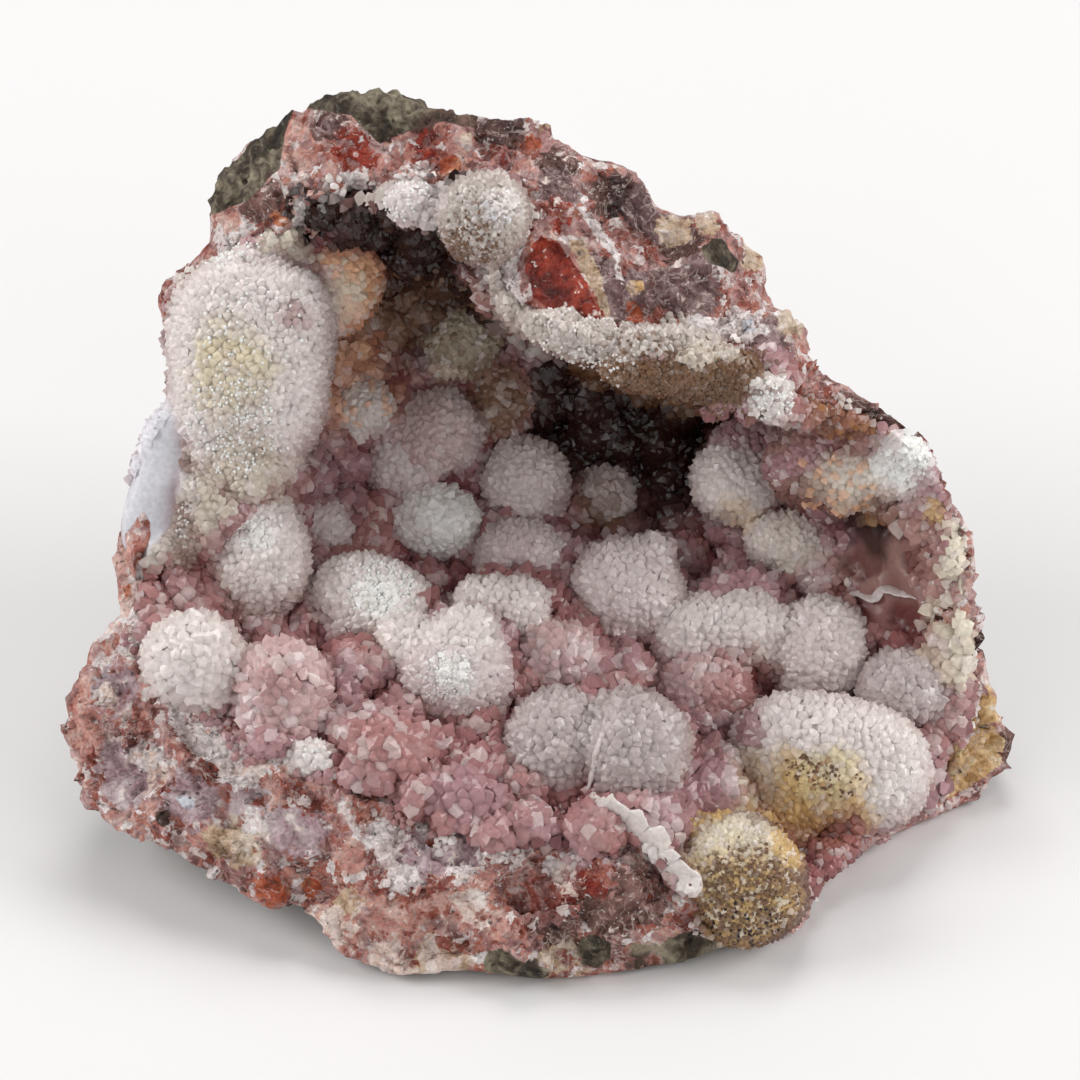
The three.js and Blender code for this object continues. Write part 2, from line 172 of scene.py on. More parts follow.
def voxelled(points, faces, voxel):
    """The union of closed bodies, remeshed evenly."""
    mesh = mesh_of("rough", points, faces)
    body = bpy.data.objects.new("rough", mesh)
    bpy.context.scene.collection.objects.link(body)
    remesh = body.modifiers.new("even", "REMESH")
    remesh.mode = "VOXEL"
    remesh.voxel_size = voxel * MM
    made = bpy.data.meshes.new_from_object(body.evaluated_get(bpy.context.evaluated_depsgraph_get()))
    result = arrays_of(made)
    bpy.data.objects.remove(body)
    bpy.data.meshes.remove(mesh)
    bpy.data.meshes.remove(made)
    return result


def nearness(points, tree, px, py, reach, full, gone, bend=0.0):
    """How near each point is to a spot on a surface, from 1 to 0, between two shares of its reach."""
    middle = place(tree, px, py)
    if middle is None:
        return np.zeros(len(points))
    distance = np.linalg.norm(points - middle, axis=1) / (reach * PIXEL)
    return 1 - smoothstep(distance + bend, full, gone)


def edges_of(faces):
    pairs = np.concatenate([faces[:, [0, 1]], faces[:, [1, 2]], faces[:, [2, 0]]])
    return np.unique(np.sort(pairs, axis=1), axis=0)


def mean_of_neighbours(values, edges):
    count = np.bincount(edges.ravel(), minlength=len(values)).astype(float)
    total = np.zeros_like(values)
    for k in range(values.shape[1]):
        total[:, k] += np.bincount(edges[:, 0], values[edges[:, 1], k], len(values))
        total[:, k] += np.bincount(edges[:, 1], values[edges[:, 0], k], len(values))
    return total / np.maximum(count, 1)[:, None]


def smoothed(values, faces, times):
    """Each corner's values drawn halfway to its neighbours' mean, a number of times."""
    edges = edges_of(faces)
    for _ in range(times):
        values = values + 0.5 * (mean_of_neighbours(values, edges) - values)
    return values


def normals_of(points, faces):
    """The area-weighted normal at each corner."""
    a, b, c = points[faces[:, 0]], points[faces[:, 1]], points[faces[:, 2]]
    across = np.cross(b - a, c - a)
    total = np.zeros_like(points)
    for k in range(3):
        for axis in range(3):
            total[:, axis] += np.bincount(faces[:, k], across[:, axis], len(points))
    return unit(total)


def broad_normals(points, faces, times):
    """The normals smoothed a number of times."""
    return unit(smoothed(normals_of(points, faces), faces, times))


def shifted(points, reach, seed, *steps):
    """The points in units of a reach, moved along by the seed so that no two noises are alike."""
    shift = Vector([seed * step for step in steps])
    return [Vector(p) / reach + shift for p in points]


def waves(points, reach, seed):
    """Smooth noise of about -1 to 1 at each point, with swells of the given reach in mm."""
    return np.array([noise.noise(q) for q in shifted(points, reach, seed, 17.3, -9.1, 5.7)])


def fractal(points, reach, seed):
    """Waves with two finer ones laid over them, each half as long and half as high."""
    return sum(waves(points, reach / 2 ** i, seed + i) / 2 ** i for i in range(3))


def bubbles(points, reach, seed):
    """Round lumps with sharp creases between them: 1 on a lump's top, below 0 in a crease."""
    near = [noise.voronoi(q)[0][0] for q in shifted(points, reach, seed, 2.3, -6.1, 4.9)]
    return 1 - np.minimum(near, 1) ** 2 * 1.6


def facets(points, reach, seed):
    """Broken planes: each cell of rock has its own height and tilt. About -1 to 1."""
    heights = []
    for q in shifted(points, reach, seed, 3.1, 7.7, -4.3):
        middle = noise.voronoi(q)[1][0]
        tilt = noise.cell_vector(middle * 7.31)
        heights.append((q - middle).dot(tilt) * 1.2 + 0.8 * noise.cell(middle * 5.17) - 0.4)
    return np.array(heights)


# ---- the crystal knobs ----
# px, py, half width and half height in pixels, turn of the width in degrees, how deep the middle
# lies behind the surface as a share of its depth, colour, and the crystals' spacing in mm. A knob with
# flat sides has a power after them, which is 2 for a round one.
KNOBS = [
    (375, 604, 64, 44, -25, 0.7, "white", 1.0), (456, 672, 52, 42, -8, 0.7, "milk", 1.0),
    (416, 648, 40, 30, -35, 0.9, "white", 1.0), (502, 610, 46, 30, -4, 0.6, "white", 0.95, 3.4),
    (462, 638, 36, 28, 30, 0.9, "white", 1.0), (557, 662, 36, 36, 0, 0.9, "blush", 1.3),
    (627, 590, 52, 50, 0, 0.6, "milk", 1.05), (654, 556, 20, 24, -30, 0.6, "milk", 1.05),
    (526, 481, 42, 44, 0, 0.6, "milk", 1.0), (438, 522, 41, 34, 0, 0.6, "frost", 1.0),
    (519, 553, 40, 31, 0, 0.7, "milk", 1.0), (603, 498, 30, 31, 0, 0.7, "milk", 1.0),
    (500, 400, 30, 42, 0, 0.8, "mauve", 1.1), (404, 462, 38, 34, 0, 0.8, "milk", 1.0),
    (444, 430, 36, 38, 0, 0.8, "milk", 1.0), (452, 385, 26, 30, 0, 0.8, "milk", 1.0),
    (260, 556, 46, 57, 0, 0.6, "white", 1.0), (321, 531, 30, 30, 0, 0.7, "milk", 1.0),
    (360, 408, 30, 28, 0, 0.6, "white", 1.0), (334, 280, 48, 46, 90, 0.9, "peach", 1.1),
    (249, 358, 76, 98, -6, 1, "white", 0.9, 3.4), (232, 462, 54, 48, -30, 1.1, "sage", 0.9),
    (188, 524, 28, 66, -30, 0.9, "sage", 0.7), (153, 484, 23, 78, -16, 0.8, "bluish", 1.0, 3.5),
    (736, 482, 44, 42, 0, 0.6, "white", 1.0), (748, 448, 34, 30, 0, 0.8, "lilac", 1.1),
    (822, 466, 56, 38, 5, 0.9, "lilac", 1.0), (862, 466, 40, 38, 0, 0.9, "milk", 0.95),
    (903, 460, 36, 38, 0, 0.9, "white", 0.9), (485, 217, 41, 41, 0, 1, "ash", 0.7),
    (192, 663, 48, 46, 0, 0.9, "white", 1.35), (283, 692, 44, 49, 0, 0.8, "blush", 1.35),
    (700, 632, 44, 34, 10, 0.7, "white", 1.05), (748, 628, 38, 34, 0, 0.7, "white", 1.05),
    (822, 652, 46, 54, 0, 0.7, "white", 1.05), (708, 690, 44, 34, -10, 0.8, "blush", 1.2),
    (903, 690, 43, 38, 0, 0.7, "haze", 1.0), (838, 757, 92, 54, -15, 0.8, "white", 1.05, 2.6),
    (884, 776, 42, 42, 0, 0.9, "white", 1.05), (788, 798, 56, 42, -10, 0.9, "straw", 0.85),
    (745, 884, 54, 62, 25, 1, "drab", 0.7, 2.6), (720, 842, 34, 26, 0, 0.9, "straw", 0.9),
    (557, 742, 46, 48, 0, 0.7, "haze", 1.1), (634, 748, 52, 52, 0, 0.7, "haze", 1.1),
    (786, 543, 40, 30, -12, 0.75, "white", 1.0), (814, 574, 24, 50, 36, 0.55, "blush", 1.1),
    (463, 335, 38, 34, 0, 0.8, "olive", 0.9), (390, 752, 42, 28, -25, 0.9, "pink", 1.5),
    (465, 800, 38, 26, -10, 0.9, "lilac", 1.5), (710, 788, 30, 26, 0, 0.8, "lilac", 1.4),
    (946, 665, 30, 26, 0, 0.5, "cream", 1.2), (740, 592, 46, 22, 5, 0.4, "lilac", 1.4),
    (312, 475, 22, 20, 0, 0.4, "lilac", 1.2), (367, 542, 24, 22, 0, 0.4, "pink", 1.2),
    (372, 512, 24, 20, 0, 0.4, "pink", 1.4), (420, 610, 20, 16, 0, 0.4, "rose", 1.4),
    (330, 640, 22, 16, 0, 0.4, "lilac", 1.4), (665, 620, 20, 16, 0, 0.4, "lilac", 1.4),
    (580, 560, 20, 18, 0, 0.4, "lilac", 1.4), (770, 730, 26, 20, 0, 0.4, "lilac", 1.4),
    (880, 630, 24, 20, 0, 0.4, "pink", 1.3), (315, 760, 28, 16, -15, 0.5, "white", 1.1),
    (560, 340, 48, 13, -30, 0.8, "milk", 0.75), (650, 374, 52, 17, -5, 0.8, "drab", 0.7),
    (725, 372, 42, 22, -6, 0.8, "drab", 0.75), (774, 402, 18, 20, 0, 0.8, "white", 0.9),
]
FINER = 0.92  # the crystals' spacing over the one given for each knob
KNOB_DEPTH = 0.92  # a knob's half length along the line of sight, over its smaller half across
KNOB_EDGE = (1.08, 1.28)  # times a knob's half lengths, between which its colour and spacing end
ROUND = 2  # the power of a round knob
KNOB_COLOURING = 0.9
KNOB_LUMPS = 0.05  # over a knob's half lengths
WALL_SPACING = 1.2  # of the crystals between the knobs, in mm

# Single crystals of another colour: px, py, reach in pixels, chance, colour.
SPECKLES = [
    (745, 900, 56, 0.45, "brown"), (745, 895, 60, 0.2, "cream"), (822, 774, 22, 0.25, "amber"),
    (760, 800, 40, 0.15, "cream"), (640, 376, 60, 0.35, "brown"), (735, 388, 50, 0.3, "brown"),
    (468, 240, 40, 0.3, "brown"), (840, 490, 50, 0.35, "peach"), (340, 300, 50, 0.3, "cream"),
    (480, 210, 40, 0.25, "white"), (420, 300, 90, 0.12, "brown"), (360, 400, 40, 0.3, "peach"),
    (850, 410, 50, 0.25, "amber"),
]
SPECKLE_STRENGTH = 0.6

# Fine grains that sit on the crystals: px, py, reach in pixels, chance, colour.
GRAINS = [
    (382, 588, 40, 1.0, "frost"), (446, 678, 32, 1.0, "frost"), (258, 532, 26, 0.4, "frost"),
    (235, 425, 60, 0.5, "frost"), (250, 330, 60, 0.15, "frost"), (903, 462, 26, 0.9, "frost"),
    (800, 768, 18, 0.5, "speck"), (824, 776, 20, 0.6, "speck"), (850, 788, 16, 0.4, "speck"),
    (745, 900, 60, 0.75, "speck"), (752, 925, 40, 0.25, "umber"), (770, 822, 20, 0.4, "speck"),
    (480, 225, 46, 0.5, "ash"), (470, 245, 34, 0.5, "speck"), (640, 382, 44, 0.6, "speck"),
    (690, 398, 40, 0.6, "speck"), (580, 345, 60, 0.4, "white"), (722, 393, 34, 0.5, "speck"),
    (735, 330, 44, 0.5, "frost"), (775, 402, 26, 0.5, "frost"), (400, 196, 34, 0.4, "frost"),
    (235, 252, 34, 0.5, "frost"), (310, 757, 30, 0.5, "frost"), (175, 520, 34, 0.5, "white"),
]
GRAIN_SPACING = 0.38  # in mm

# The stone's outline as the eye sees it. Lumps die out toward it.
OUTLINE = [
    (945, 505), (975, 560), (985, 640), (998, 708), (1022, 745), (992, 790), (918, 818), (854, 874),
    (813, 935), (741, 955), (675, 977), (607, 985), (540, 990), (471, 985), (400, 978), (333, 960),
    (305, 915), (208, 892), (145, 847), (70, 800), (59, 716), (110, 640), (116, 560), (135, 480),
    (165, 430), (172, 387), (175, 345), (158, 300), (208, 228), (205, 170), (244, 153), (305, 97),
    (387, 90), (468, 107), (540, 121), (604, 158), (656, 202), (717, 213), (764, 252), (780, 320),
    (813, 362), (857, 398), (919, 437),
]

# ---- what stains the lining, and where shade is painted on it: px, py, reach in pixels, colour, strength ----
STAIN_RAGGEDNESS = 0.3  # how far noise moves a stain's edge, over its reach
# Many of the darkest spots here are painted shade: in the dark pocket under the lip, the cavity behind the
# knobs and the top of the recess, where the umber is partly the wall's own brown. The brown spots at (603,
# 498) and (500, 400) are painted shade on knobs deep in the cavity; the rest are the crust's own colour.
WALL_STAINS_AND_SHADE = [
    (430, 560, 120, "rose", 0.5), (330, 600, 60, "rose", 0.5), (560, 610, 70, "rose", 0.5),
    (200, 600, 70, "pink", 0.5), (450, 760, 120, "pink", 0.4), (620, 700, 80, "rose", 0.4),
    (880, 620, 90, "rose", 0.4), (930, 560, 70, "rose", 0.4), (430, 230, 90, "umber", 1.0),
    (405, 268, 80, "umber", 1.0), (440, 215, 60, "cavity_shade", 0.9), (455, 290, 80, "umber", 0.9),
    (370, 238, 50, "cavity_shade", 0.9), (460, 300, 90, "umber", 0.85), (400, 230, 60, "deep", 0.8),
    (370, 330, 60, "brown", 0.9), (420, 300, 60, "brown", 0.5), (480, 300, 40, "brown", 0.5),
    (350, 380, 60, "peach", 0.6), (290, 450, 70, "lilac", 0.6), (620, 400, 120, "cavity_shade", 1.0),
    (700, 430, 90, "umber", 1.0), (560, 420, 80, "deep", 0.9), (650, 500, 70, "deep", 0.7),
    (900, 560, 80, "mauve", 0.8), (850, 590, 60, "mauve", 0.6), (868, 528, 40, "umber", 0.8),
    (603, 498, 44, "brown", 0.5), (500, 400, 44, "brown", 0.6), (430, 440, 46, "lilac", 0.3),
    (905, 625, 30, "rose", 0.7), (960, 570, 24, "cream", 0.8), (880, 620, 40, "rose", 0.6),
    (470, 742, 46, "rose", 0.5), (430, 242, 44, "umber", 0.7),
]
# The brown spots at (603, 498) and (500, 400) are painted shade on knobs deep in the cavity; the rest are
# the knobs' own colour.
KNOB_STAINS_AND_SHADE = [
    (232, 362, 50, "lemon", 0.7), (300, 312, 18, "rose", 0.5), (352, 300, 26, "cream", 0.5),
    (165, 380, 40, "white", 1.0), (250, 462, 40, "sage", 1.0), (205, 500, 40, "sage", 1.0),
    (232, 250, 30, "white", 1.0), (300, 238, 26, "sage", 0.8), (355, 184, 34, "ash", 1.0),
    (282, 232, 20, "cream", 0.9), (855, 485, 46, "cream", 0.6), (862, 508, 24, "straw", 0.5),
    (800, 500, 40, "drab", 0.6), (885, 505, 30, "brown", 0.5), (898, 456, 38, "frost", 1.0),
    (738, 515, 26, "straw", 0.4), (240, 392, 44, "sage", 0.5), (790, 540, 40, "sage", 0.5),
    (785, 806, 60, "straw", 1.0), (835, 806, 50, "straw", 0.9), (760, 775, 36, "sage", 0.6),
    (830, 776, 34, "lemon", 0.6), (722, 836, 34, "lemon", 0.7), (380, 596, 24, "frost", 0.9),
    (458, 674, 22, "frost", 0.9), (262, 536, 22, "frost", 0.6), (745, 672, 34, "rose", 0.6),
    (735, 842, 50, "cream", 0.7), (790, 850, 26, "straw", 0.8), (748, 915, 60, "drab", 1.0),
    (745, 900, 64, "straw", 0.6), (500, 203, 17, "bluish", 0.9), (735, 690, 30, "pink", 0.8),
    (840, 860, 60, "rose", 0.9), (603, 498, 36, "brown", 0.55), (500, 400, 42, "brown", 0.9),
    (438, 432, 44, "mauve", 0.5), (519, 553, 30, "lilac", 0.2), (820, 650, 50, "lilac", 0.12),
    (458, 245, 24, "drab", 0.8), (283, 680, 24, "rose", 0.4), (800, 430, 40, "mauve", 0.9),
    (850, 412, 50, "rust", 0.9), (774, 402, 22, "white", 1.0), (932, 508, 15, "straw", 0.7),
    (885, 520, 16, "amber", 0.5), (835, 512, 14, "amber", 0.5), (962, 560, 26, "cream", 0.9),
    (955, 615, 30, "cream", 1.0), (975, 700, 40, "straw", 0.6), (450, 372, 20, "cream", 1.0),
    (405, 198, 46, "milk", 1.0), (655, 856, 14, "white", 1.0), (688, 885, 18, "white", 1.0),
]
# Stains with a drawn outline: colour, outline.
STAIN_OUTLINES = [
    ("ash", [(492, 250), (520, 205), (560, 205), (560, 280), (620, 290), (700, 290), (780, 300),
     (764, 345), (700, 350), (640, 356), (590, 366), (530, 354), (496, 325), (484, 285)]),
    ("ash", [(318, 164), (392, 160), (392, 186), (380, 200), (335, 204)]),
    ("umber", [(246, 184), (326, 184), (346, 206), (392, 202), (392, 224), (336, 226), (308, 244),
     (262, 232)]),
    ("cream", [(264, 222), (298, 222), (300, 246), (268, 248)]),
    ("drab", [(560, 356), (600, 360), (650, 356), (700, 350), (760, 352), (790, 380), (760, 400),
     (690, 412), (630, 396), (580, 380)]),
    ("sage", [(682, 338), (735, 338), (742, 356), (700, 366), (680, 352)]),
    ("white", [(715, 306), (764, 306), (768, 340), (738, 352), (715, 330)]),
    ("white", [(492, 192), (512, 186), (522, 200), (515, 216), (498, 210)]),
    ("white", [(752, 375), (792, 378), (796, 425), (768, 432), (750, 405)]),
    ("cream", [(948, 520), (976, 530), (982, 640), (962, 690), (944, 640), (956, 590)]),
    ("ash", [(180, 436), (205, 470), (196, 520), (160, 566), (140, 560), (168, 528), (181, 484)]),
]

# The clean face of red jasper on the rim above the mouth.
JASPER_FACE = [
    (540, 237), (559, 244), (580, 274), (602, 311), (608, 337), (588, 331), (553, 312), (534, 298),
    (525, 270), (531, 247),
]

# Where the lining has no crystals: its colour there, if it has one of its own, the height of its
# broken planes in mm, and the outline.
BARE = [
    ("bluish", 0, [(172, 410), (179, 450), (180, 484), (167, 528), (140, 558), (126, 548), (122, 510),
     (145, 462)]),
    (None, 0.8, [(850, 532), (880, 524), (905, 536), (900, 566), (916, 590), (922, 614), (905, 634),
     (872, 622), (852, 598), (842, 562)]),
]
# Where the druse is finer: px, py, reach in pixels, spacing in mm.
FINE_DRUSE = [
    (430, 250, 110, 0.9), (560, 330, 60, 0.7), (640, 370, 80, 0.6), (740, 375, 60, 0.6),
    (850, 410, 70, 0.8), (485, 217, 50, 0.65), (505, 290, 40, 0.65), (400, 198, 50, 0.8),
    (235, 255, 50, 0.8), (300, 235, 40, 0.75), (830, 500, 60, 0.8), (960, 560, 60, 0.9),
    (165, 380, 30, 0.8), (240, 480, 60, 0.8), (175, 520, 40, 0.7), (930, 480, 50, 0.8),
    (822, 774, 26, 0.6), (748, 905, 62, 0.58), (700, 320, 60, 0.7), (830, 868, 50, 0.75),
]

# Where no druse spills over the mouth's edge.
CLEAN_EDGES = [
    [(90, 350), (172, 350), (182, 412), (180, 484), (166, 530), (150, 600), (90, 600)],
    [(770, 330), (930, 400), (960, 470), (905, 440), (850, 400), (780, 380)],
    JASPER_FACE,
]

# Thin crests of clear chalcedony: colour, height and thickness in mm, how far each leans to the right
# of its run, then the places along it.
CRESTS = [
    ("white", 4.4, 1.4, -0.9, [(588, 800), (600, 812), (618, 816), (634, 836), (652, 850), (664, 868),
     (682, 878), (694, 896)]),
    ("milk", 1.6, 1.1, 0.0, [(606, 702), (602, 735), (594, 765), (586, 796)]),
    ("milk", 1.3, 0.7, 0.6, [(838, 600), (854, 593), (872, 598), (884, 589), (902, 592), (924, 602)]),
]


def knob_frame(knob):
    """A knob's half lengths in mm, their directions (across, up and toward the eye) and its power."""
    wide, high, turn = knob[2:5]
    angle = math.radians(turn)
    across = math.cos(angle) * RIGHT + math.sin(angle) * UP
    upward = math.cos(angle) * UP - math.sin(angle) * RIGHT
    halves = np.array([wide, high, KNOB_DEPTH * min(wide, high)]) * PIXEL
    power = knob[8] if len(knob) > 8 else ROUND
    return halves, np.array([across, upward, OUT]), power


def ball(middle, halves, ways, power):
    """A knob as a closed body, slightly lumpy."""
    bm = bmesh.new()
    bmesh.ops.create_icosphere(bm, subdivisions=4, radius=1)
    points = np.array([v.co for v in bm.verts])
    faces = np.array([[v.index for v in f.verts] for f in bm.faces])
    bm.free()
    points = points / (np.abs(points) ** power).sum(axis=1)[:, None] ** (1 / power)
    points = points * (1 + KNOB_LUMPS * waves(points + middle, 0.6, 3)[:, None])
    return middle + (points * halves) @ ways, faces


def knob_shares(points, middles):
    """For each knob, how far each point belongs to it, from 0 to 1, with its colour and spacing."""
    for knob, middle in zip(KNOBS, middles):
        halves, ways, power = knob_frame(knob)
        away = np.abs((points - middle) @ ways.T / halves)
        reach = (away ** power).sum(axis=1) ** (1 / power)
        yield 1 - smoothstep(reach, *KNOB_EDGE), *knob[6:8]


def joined(parts):
    """Several bodies' corners and faces as one list of each."""
    starts = np.cumsum([0] + [len(p) for p, _ in parts[:-1]])
    points = np.concatenate([p for p, _ in parts])
    return points, np.concatenate([f + s for (_, f), s in zip(parts, starts)])


rock_cad = arrays_of(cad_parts["rock_shell"].data)
crust_cad = arrays_of(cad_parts["crystal_crust"].data)
cad_tree = tree_of(*joined([rock_cad, crust_cad]))
cad_rock_tree = tree_of(*rock_cad)


CREST_STEPS = 10  # from one place of a crest to the next
CREST_SIDES = 10
CREST_ROOT = 1.5  # how far a crest goes down into the crust, in mm
CREST_TAPER = 0.4  # power of the sine that brings a crest's ends down


def waved(points, reach, seeds):
    """Noise along each axis."""
    return np.stack([waves(points, reach, seed) for seed in seeds], axis=1)


def crest(tree, height, thickness, lean, stations):
    """A jagged plate that follows places on a surface."""
    known = np.array([place(tree, px, py) for px, py in stations])
    last = len(known) - 1
    steps = CREST_STEPS * last + 1
    along = np.linspace(0, last, steps)
    path = np.stack([np.interp(along, range(last + 1), axis) for axis in known.T], axis=1)
    path = path + 0.3 * waved(path, 2.2, (95, 96, 97))
    run = unit(np.gradient(path, axis=0))
    stand = unit(OUT + lean * unit(np.cross(run, OUT)))
    side = unit(np.cross(run, stand))
    ends = np.sin(np.pi * np.linspace(0.06, 0.94, steps)) ** CREST_TAPER
    tall = height * ends * (1 + 0.45 * waves(path, 1.9, 91) + 0.15 * waves(path, 0.8, 92))
    thick = 0.5 * thickness * ends * (1 + 0.4 * waves(path, 0.8, 93))
    rings = []
    for turn in np.linspace(0, 2 * math.pi, CREST_SIDES, endpoint=False):
        share = 0.5 + 0.5 * math.cos(turn)
        up = tall * share - CREST_ROOT * (1 - share)
        rings.append(path + (thick * math.sin(turn))[:, None] * side + up[:, None] * stand)
    points = np.stack(rings, axis=1).reshape(-1, 3)
    faces = []
    for start in range(0, (steps - 1) * CREST_SIDES, CREST_SIDES):
        for j in range(CREST_SIDES):
            a, b = start + j, start + (j + 1) % CREST_SIDES
            faces += [[a, b, b + CREST_SIDES], [a, b + CREST_SIDES, a + CREST_SIDES]]
    end = (steps - 1) * CREST_SIDES
    for j in range(1, CREST_SIDES - 1):
        faces += [[0, j + 1, j], [end, end + j, end + j + 1]]
    return points, np.array(faces)


def open_corners(points, normals, tree):
    """Which corners look into the open, with no rock close in front of them."""
    return np.array([
        float(tree.ray_cast(Vector(p), Vector(n), NO_ROCK_WITHIN)[0] is None)
        for p, n in zip(points, normals)
    ])


def lining_surface(rock_tree, rims):
    """The lining and its knobs as one smooth body, and where each knob's middle is."""
    points, faces = voxelled(*crust_cad, LINING_VOXEL)
    points = smoothed(points, faces, LINING_SMOOTHING)
    normals = normals_of(points, faces)
    front = smoothed(open_corners(points, normals, cad_rock_tree)[:, None], faces, 3)
    points = points + normals * ((1 - front) * LINING_ROOT)
    bodies = [(points, faces)]
    middles = []
    for knob in KNOBS:
        px, py, sunk = knob[0], knob[1], knob[5]
        halves, ways, power = knob_frame(knob)
        middles.append(place(cad_tree, px, py) - sunk * halves[2] * OUT)
        bodies.append(ball(middles[-1], halves, ways, power))
    points, faces = voxelled(*joined(bodies), CRUST_VOXEL)
    points = smoothed(points, faces, KNOB_SMOOTHING)
    normals = normals_of(points, faces)
    between = np.min([1 - share for share, _, _ in knob_shares(points, middles)], axis=0)
    lumps = sum(high * bubbles(points, reach, 11 + i) for i, (reach, high) in enumerate(FLOOR_LUMPS))
    swell = between * (lumps - FLOOR_SINK) + 0.4 * bubbles(points, 2.6, 17)
    for _, rough, outline in BARE:
        share = inside(points, outline, -6, 2)
        swell = swell + share * (rough * facets(points, 5.5, 19) - swell)
    swell *= inside(points, OUTLINE, 2, 24)
    showing = smoothed(open_corners(points, normals, cad_rock_tree)[:, None], faces, 2)
    points = points + normals * swell[:, None] * showing
    points = points - FACE_COVER * inside(points, JASPER_FACE, -4, 2)[:, None] * OUT
    return kept_within(points, rock_tree, rims), faces, middles


def kept_within(points, tree, rims):
    """The points, with those that come out through the rock's outer skin drawn back into the rock."""
    points = points.copy()
    for i, p in enumerate(points):
        far = np.linalg.norm(p - MIDDLE)
        outward = (p - MIDDLE) / far
        start = 0.0
        skin = None
        while True:
            from_here = Vector(MIDDLE + start * outward)
            hit, normal, face, step = tree.ray_cast(from_here, Vector(outward))
            if hit is None:
                break
            if np.dot(normal, outward) > 0:
                skin = start + step if rims[face] < OUTER_SKIN else None
            start += step + PAST_HIT
        if skin is not None and skin < far + SKIN_COVER:
            points[i] = MIDDLE + (skin - SKIN_COVER) * outward
    return points


def toward(colours, share, name):
    """Colours drawn toward a named one, each by its share."""
    return colours + share[:, None] * (COLOURS[name] - colours)


def stained_and_shaded(points, colour, stains, tree):
    """Colours with stains and spots of painted shade laid over them, each with a ragged edge."""
    ragged = STAIN_RAGGEDNESS * fractal(points, 5, 21)
    for px, py, reach, name, strength in stains:
        share = strength * nearness(points, tree, px, py, reach, 0.6, 1.15, ragged)
        colour = toward(colour, share, name)
    return colour


def lining_colour(points, middles, tree):
    """The crust's colour: pink walls with stains and painted shade, then the knobs and their own stains,
    with painted shade on a few.
    """
    colour = np.tile(COLOURS["lilac"], (len(points), 1))
    colour = toward(colour, smoothstep(fractal(points, 9, 31), -0.5, 0.6), "pink")
    colour = toward(colour, 0.3 * smoothstep(fractal(points, 4, 41), 0.1, 0.8), "milk")
    colour = stained_and_shaded(points, colour, WALL_STAINS_AND_SHADE, tree)
    for share, name, _ in knob_shares(points, middles):
        colour = toward(colour, KNOB_COLOURING * share, name)
    colour = stained_and_shaded(points, colour, KNOB_STAINS_AND_SHADE, tree)
    ragged = 4 * fractal(points, 3, 23)
    for name, outline in STAIN_OUTLINES:
        colour = toward(colour, smoothstep(within(points, outline) + ragged, -5, 5), name)
    for name, _, outline in BARE:
        if name:
            colour = toward(colour, inside(points, outline, -6, 2), name)
    return colour


def spacing_at(points, middles):
    """The crystals' spacing at each point, in mm."""
    spacing = WALL_SPACING + 0.25 * waves(points, 6, 51)
    for share, _, wanted in knob_shares(points, middles):
        spacing = spacing + share * (FINER * wanted - spacing)
    for px, py, reach, finer in FINE_DRUSE:
        share = nearness(points, cad_tree, px, py, reach, 0.7, 1.1)
        spacing = np.minimum(spacing, spacing + share * (finer - spacing))
    return spacing


TRIES = 9  # for each square millimetre
CELL = 1.8  # of the grid that finds neighbours, in mm, wider than any spacing
AROUND = [(i, j, k) for i in (-1, 0, 1) for j in (-1, 0, 1) for k in (-1, 0, 1)]


def scattered(points, faces, wanted, spacing):
    """Points strewn over the wanted faces, no nearer to each other than the spacing there, each with
    the corner that it belongs to and its spacing."""
    a, b, c = points[faces[:, 0]], points[faces[:, 1]], points[faces[:, 2]]
    area = np.linalg.norm(np.cross(b - a, c - a), axis=1) / 2 * wanted
    tries = int(area.sum() * TRIES)
    chosen = rng.choice(len(faces), tries, p=area / area.sum())
    s, t = rng.random(tries), rng.random(tries)
    over = s + t > 1
    s[over], t[over] = 1 - s[over], 1 - t[over]
    places = a[chosen] + s[:, None] * (b - a)[chosen] + t[:, None] * (c - a)[chosen]
    roots = faces[chosen, 0]
    room = np.broadcast_to(spacing, len(points))[roots]
    grid = {}
    kept = []
    for n, (cell, (x, y, z)) in enumerate(zip(np.floor(places / CELL).astype(int), places)):
        gap = room[n] ** 2
        cells = [(cell[0] + i, cell[1] + j, cell[2] + k) for i, j, k in AROUND]
        near = (spot for each in cells for spot in grid.get(each, ()))
        if all((u - x) ** 2 + (v - y) ** 2 + (w - z) ** 2 >= gap for u, v, w in near):
            grid.setdefault(tuple(cell), []).append((x, y, z))
            kept.append(n)
    return places[kept], roots[kept], room[kept]


def strewn(points, faces, normals, wanted, spacing, lean, widths, heights):
    """Crystals on the wanted faces: their places, root corners, axes, radii and heights."""
    places, roots, room = scattered(points, faces, wanted, spacing)
    axes = unit(normals[roots] + rng.normal(0, lean, (len(places), 3)))
    radius = room * rng.uniform(*widths, len(places))
    return places, roots, axes, radius, radius * rng.uniform(*heights, len(places))


SIDES = 6
WIDTHS = (0.82, 1.15)  # of a crystal's corners, over its radius
LIFTS = (-0.08, 0.08)  # how far its corners stray, over its height
ZIGZAG = 0.09  # how far they go up and down in turn, over its height
TINT_ZIGZAG = 0.12  # and their share of the height, which the tint follows
TIP_STRAY = 0.14  # how far its tip stands off its axis, over its radius
ROOT_DEPTH = 0.6  # how far it goes down, over its height


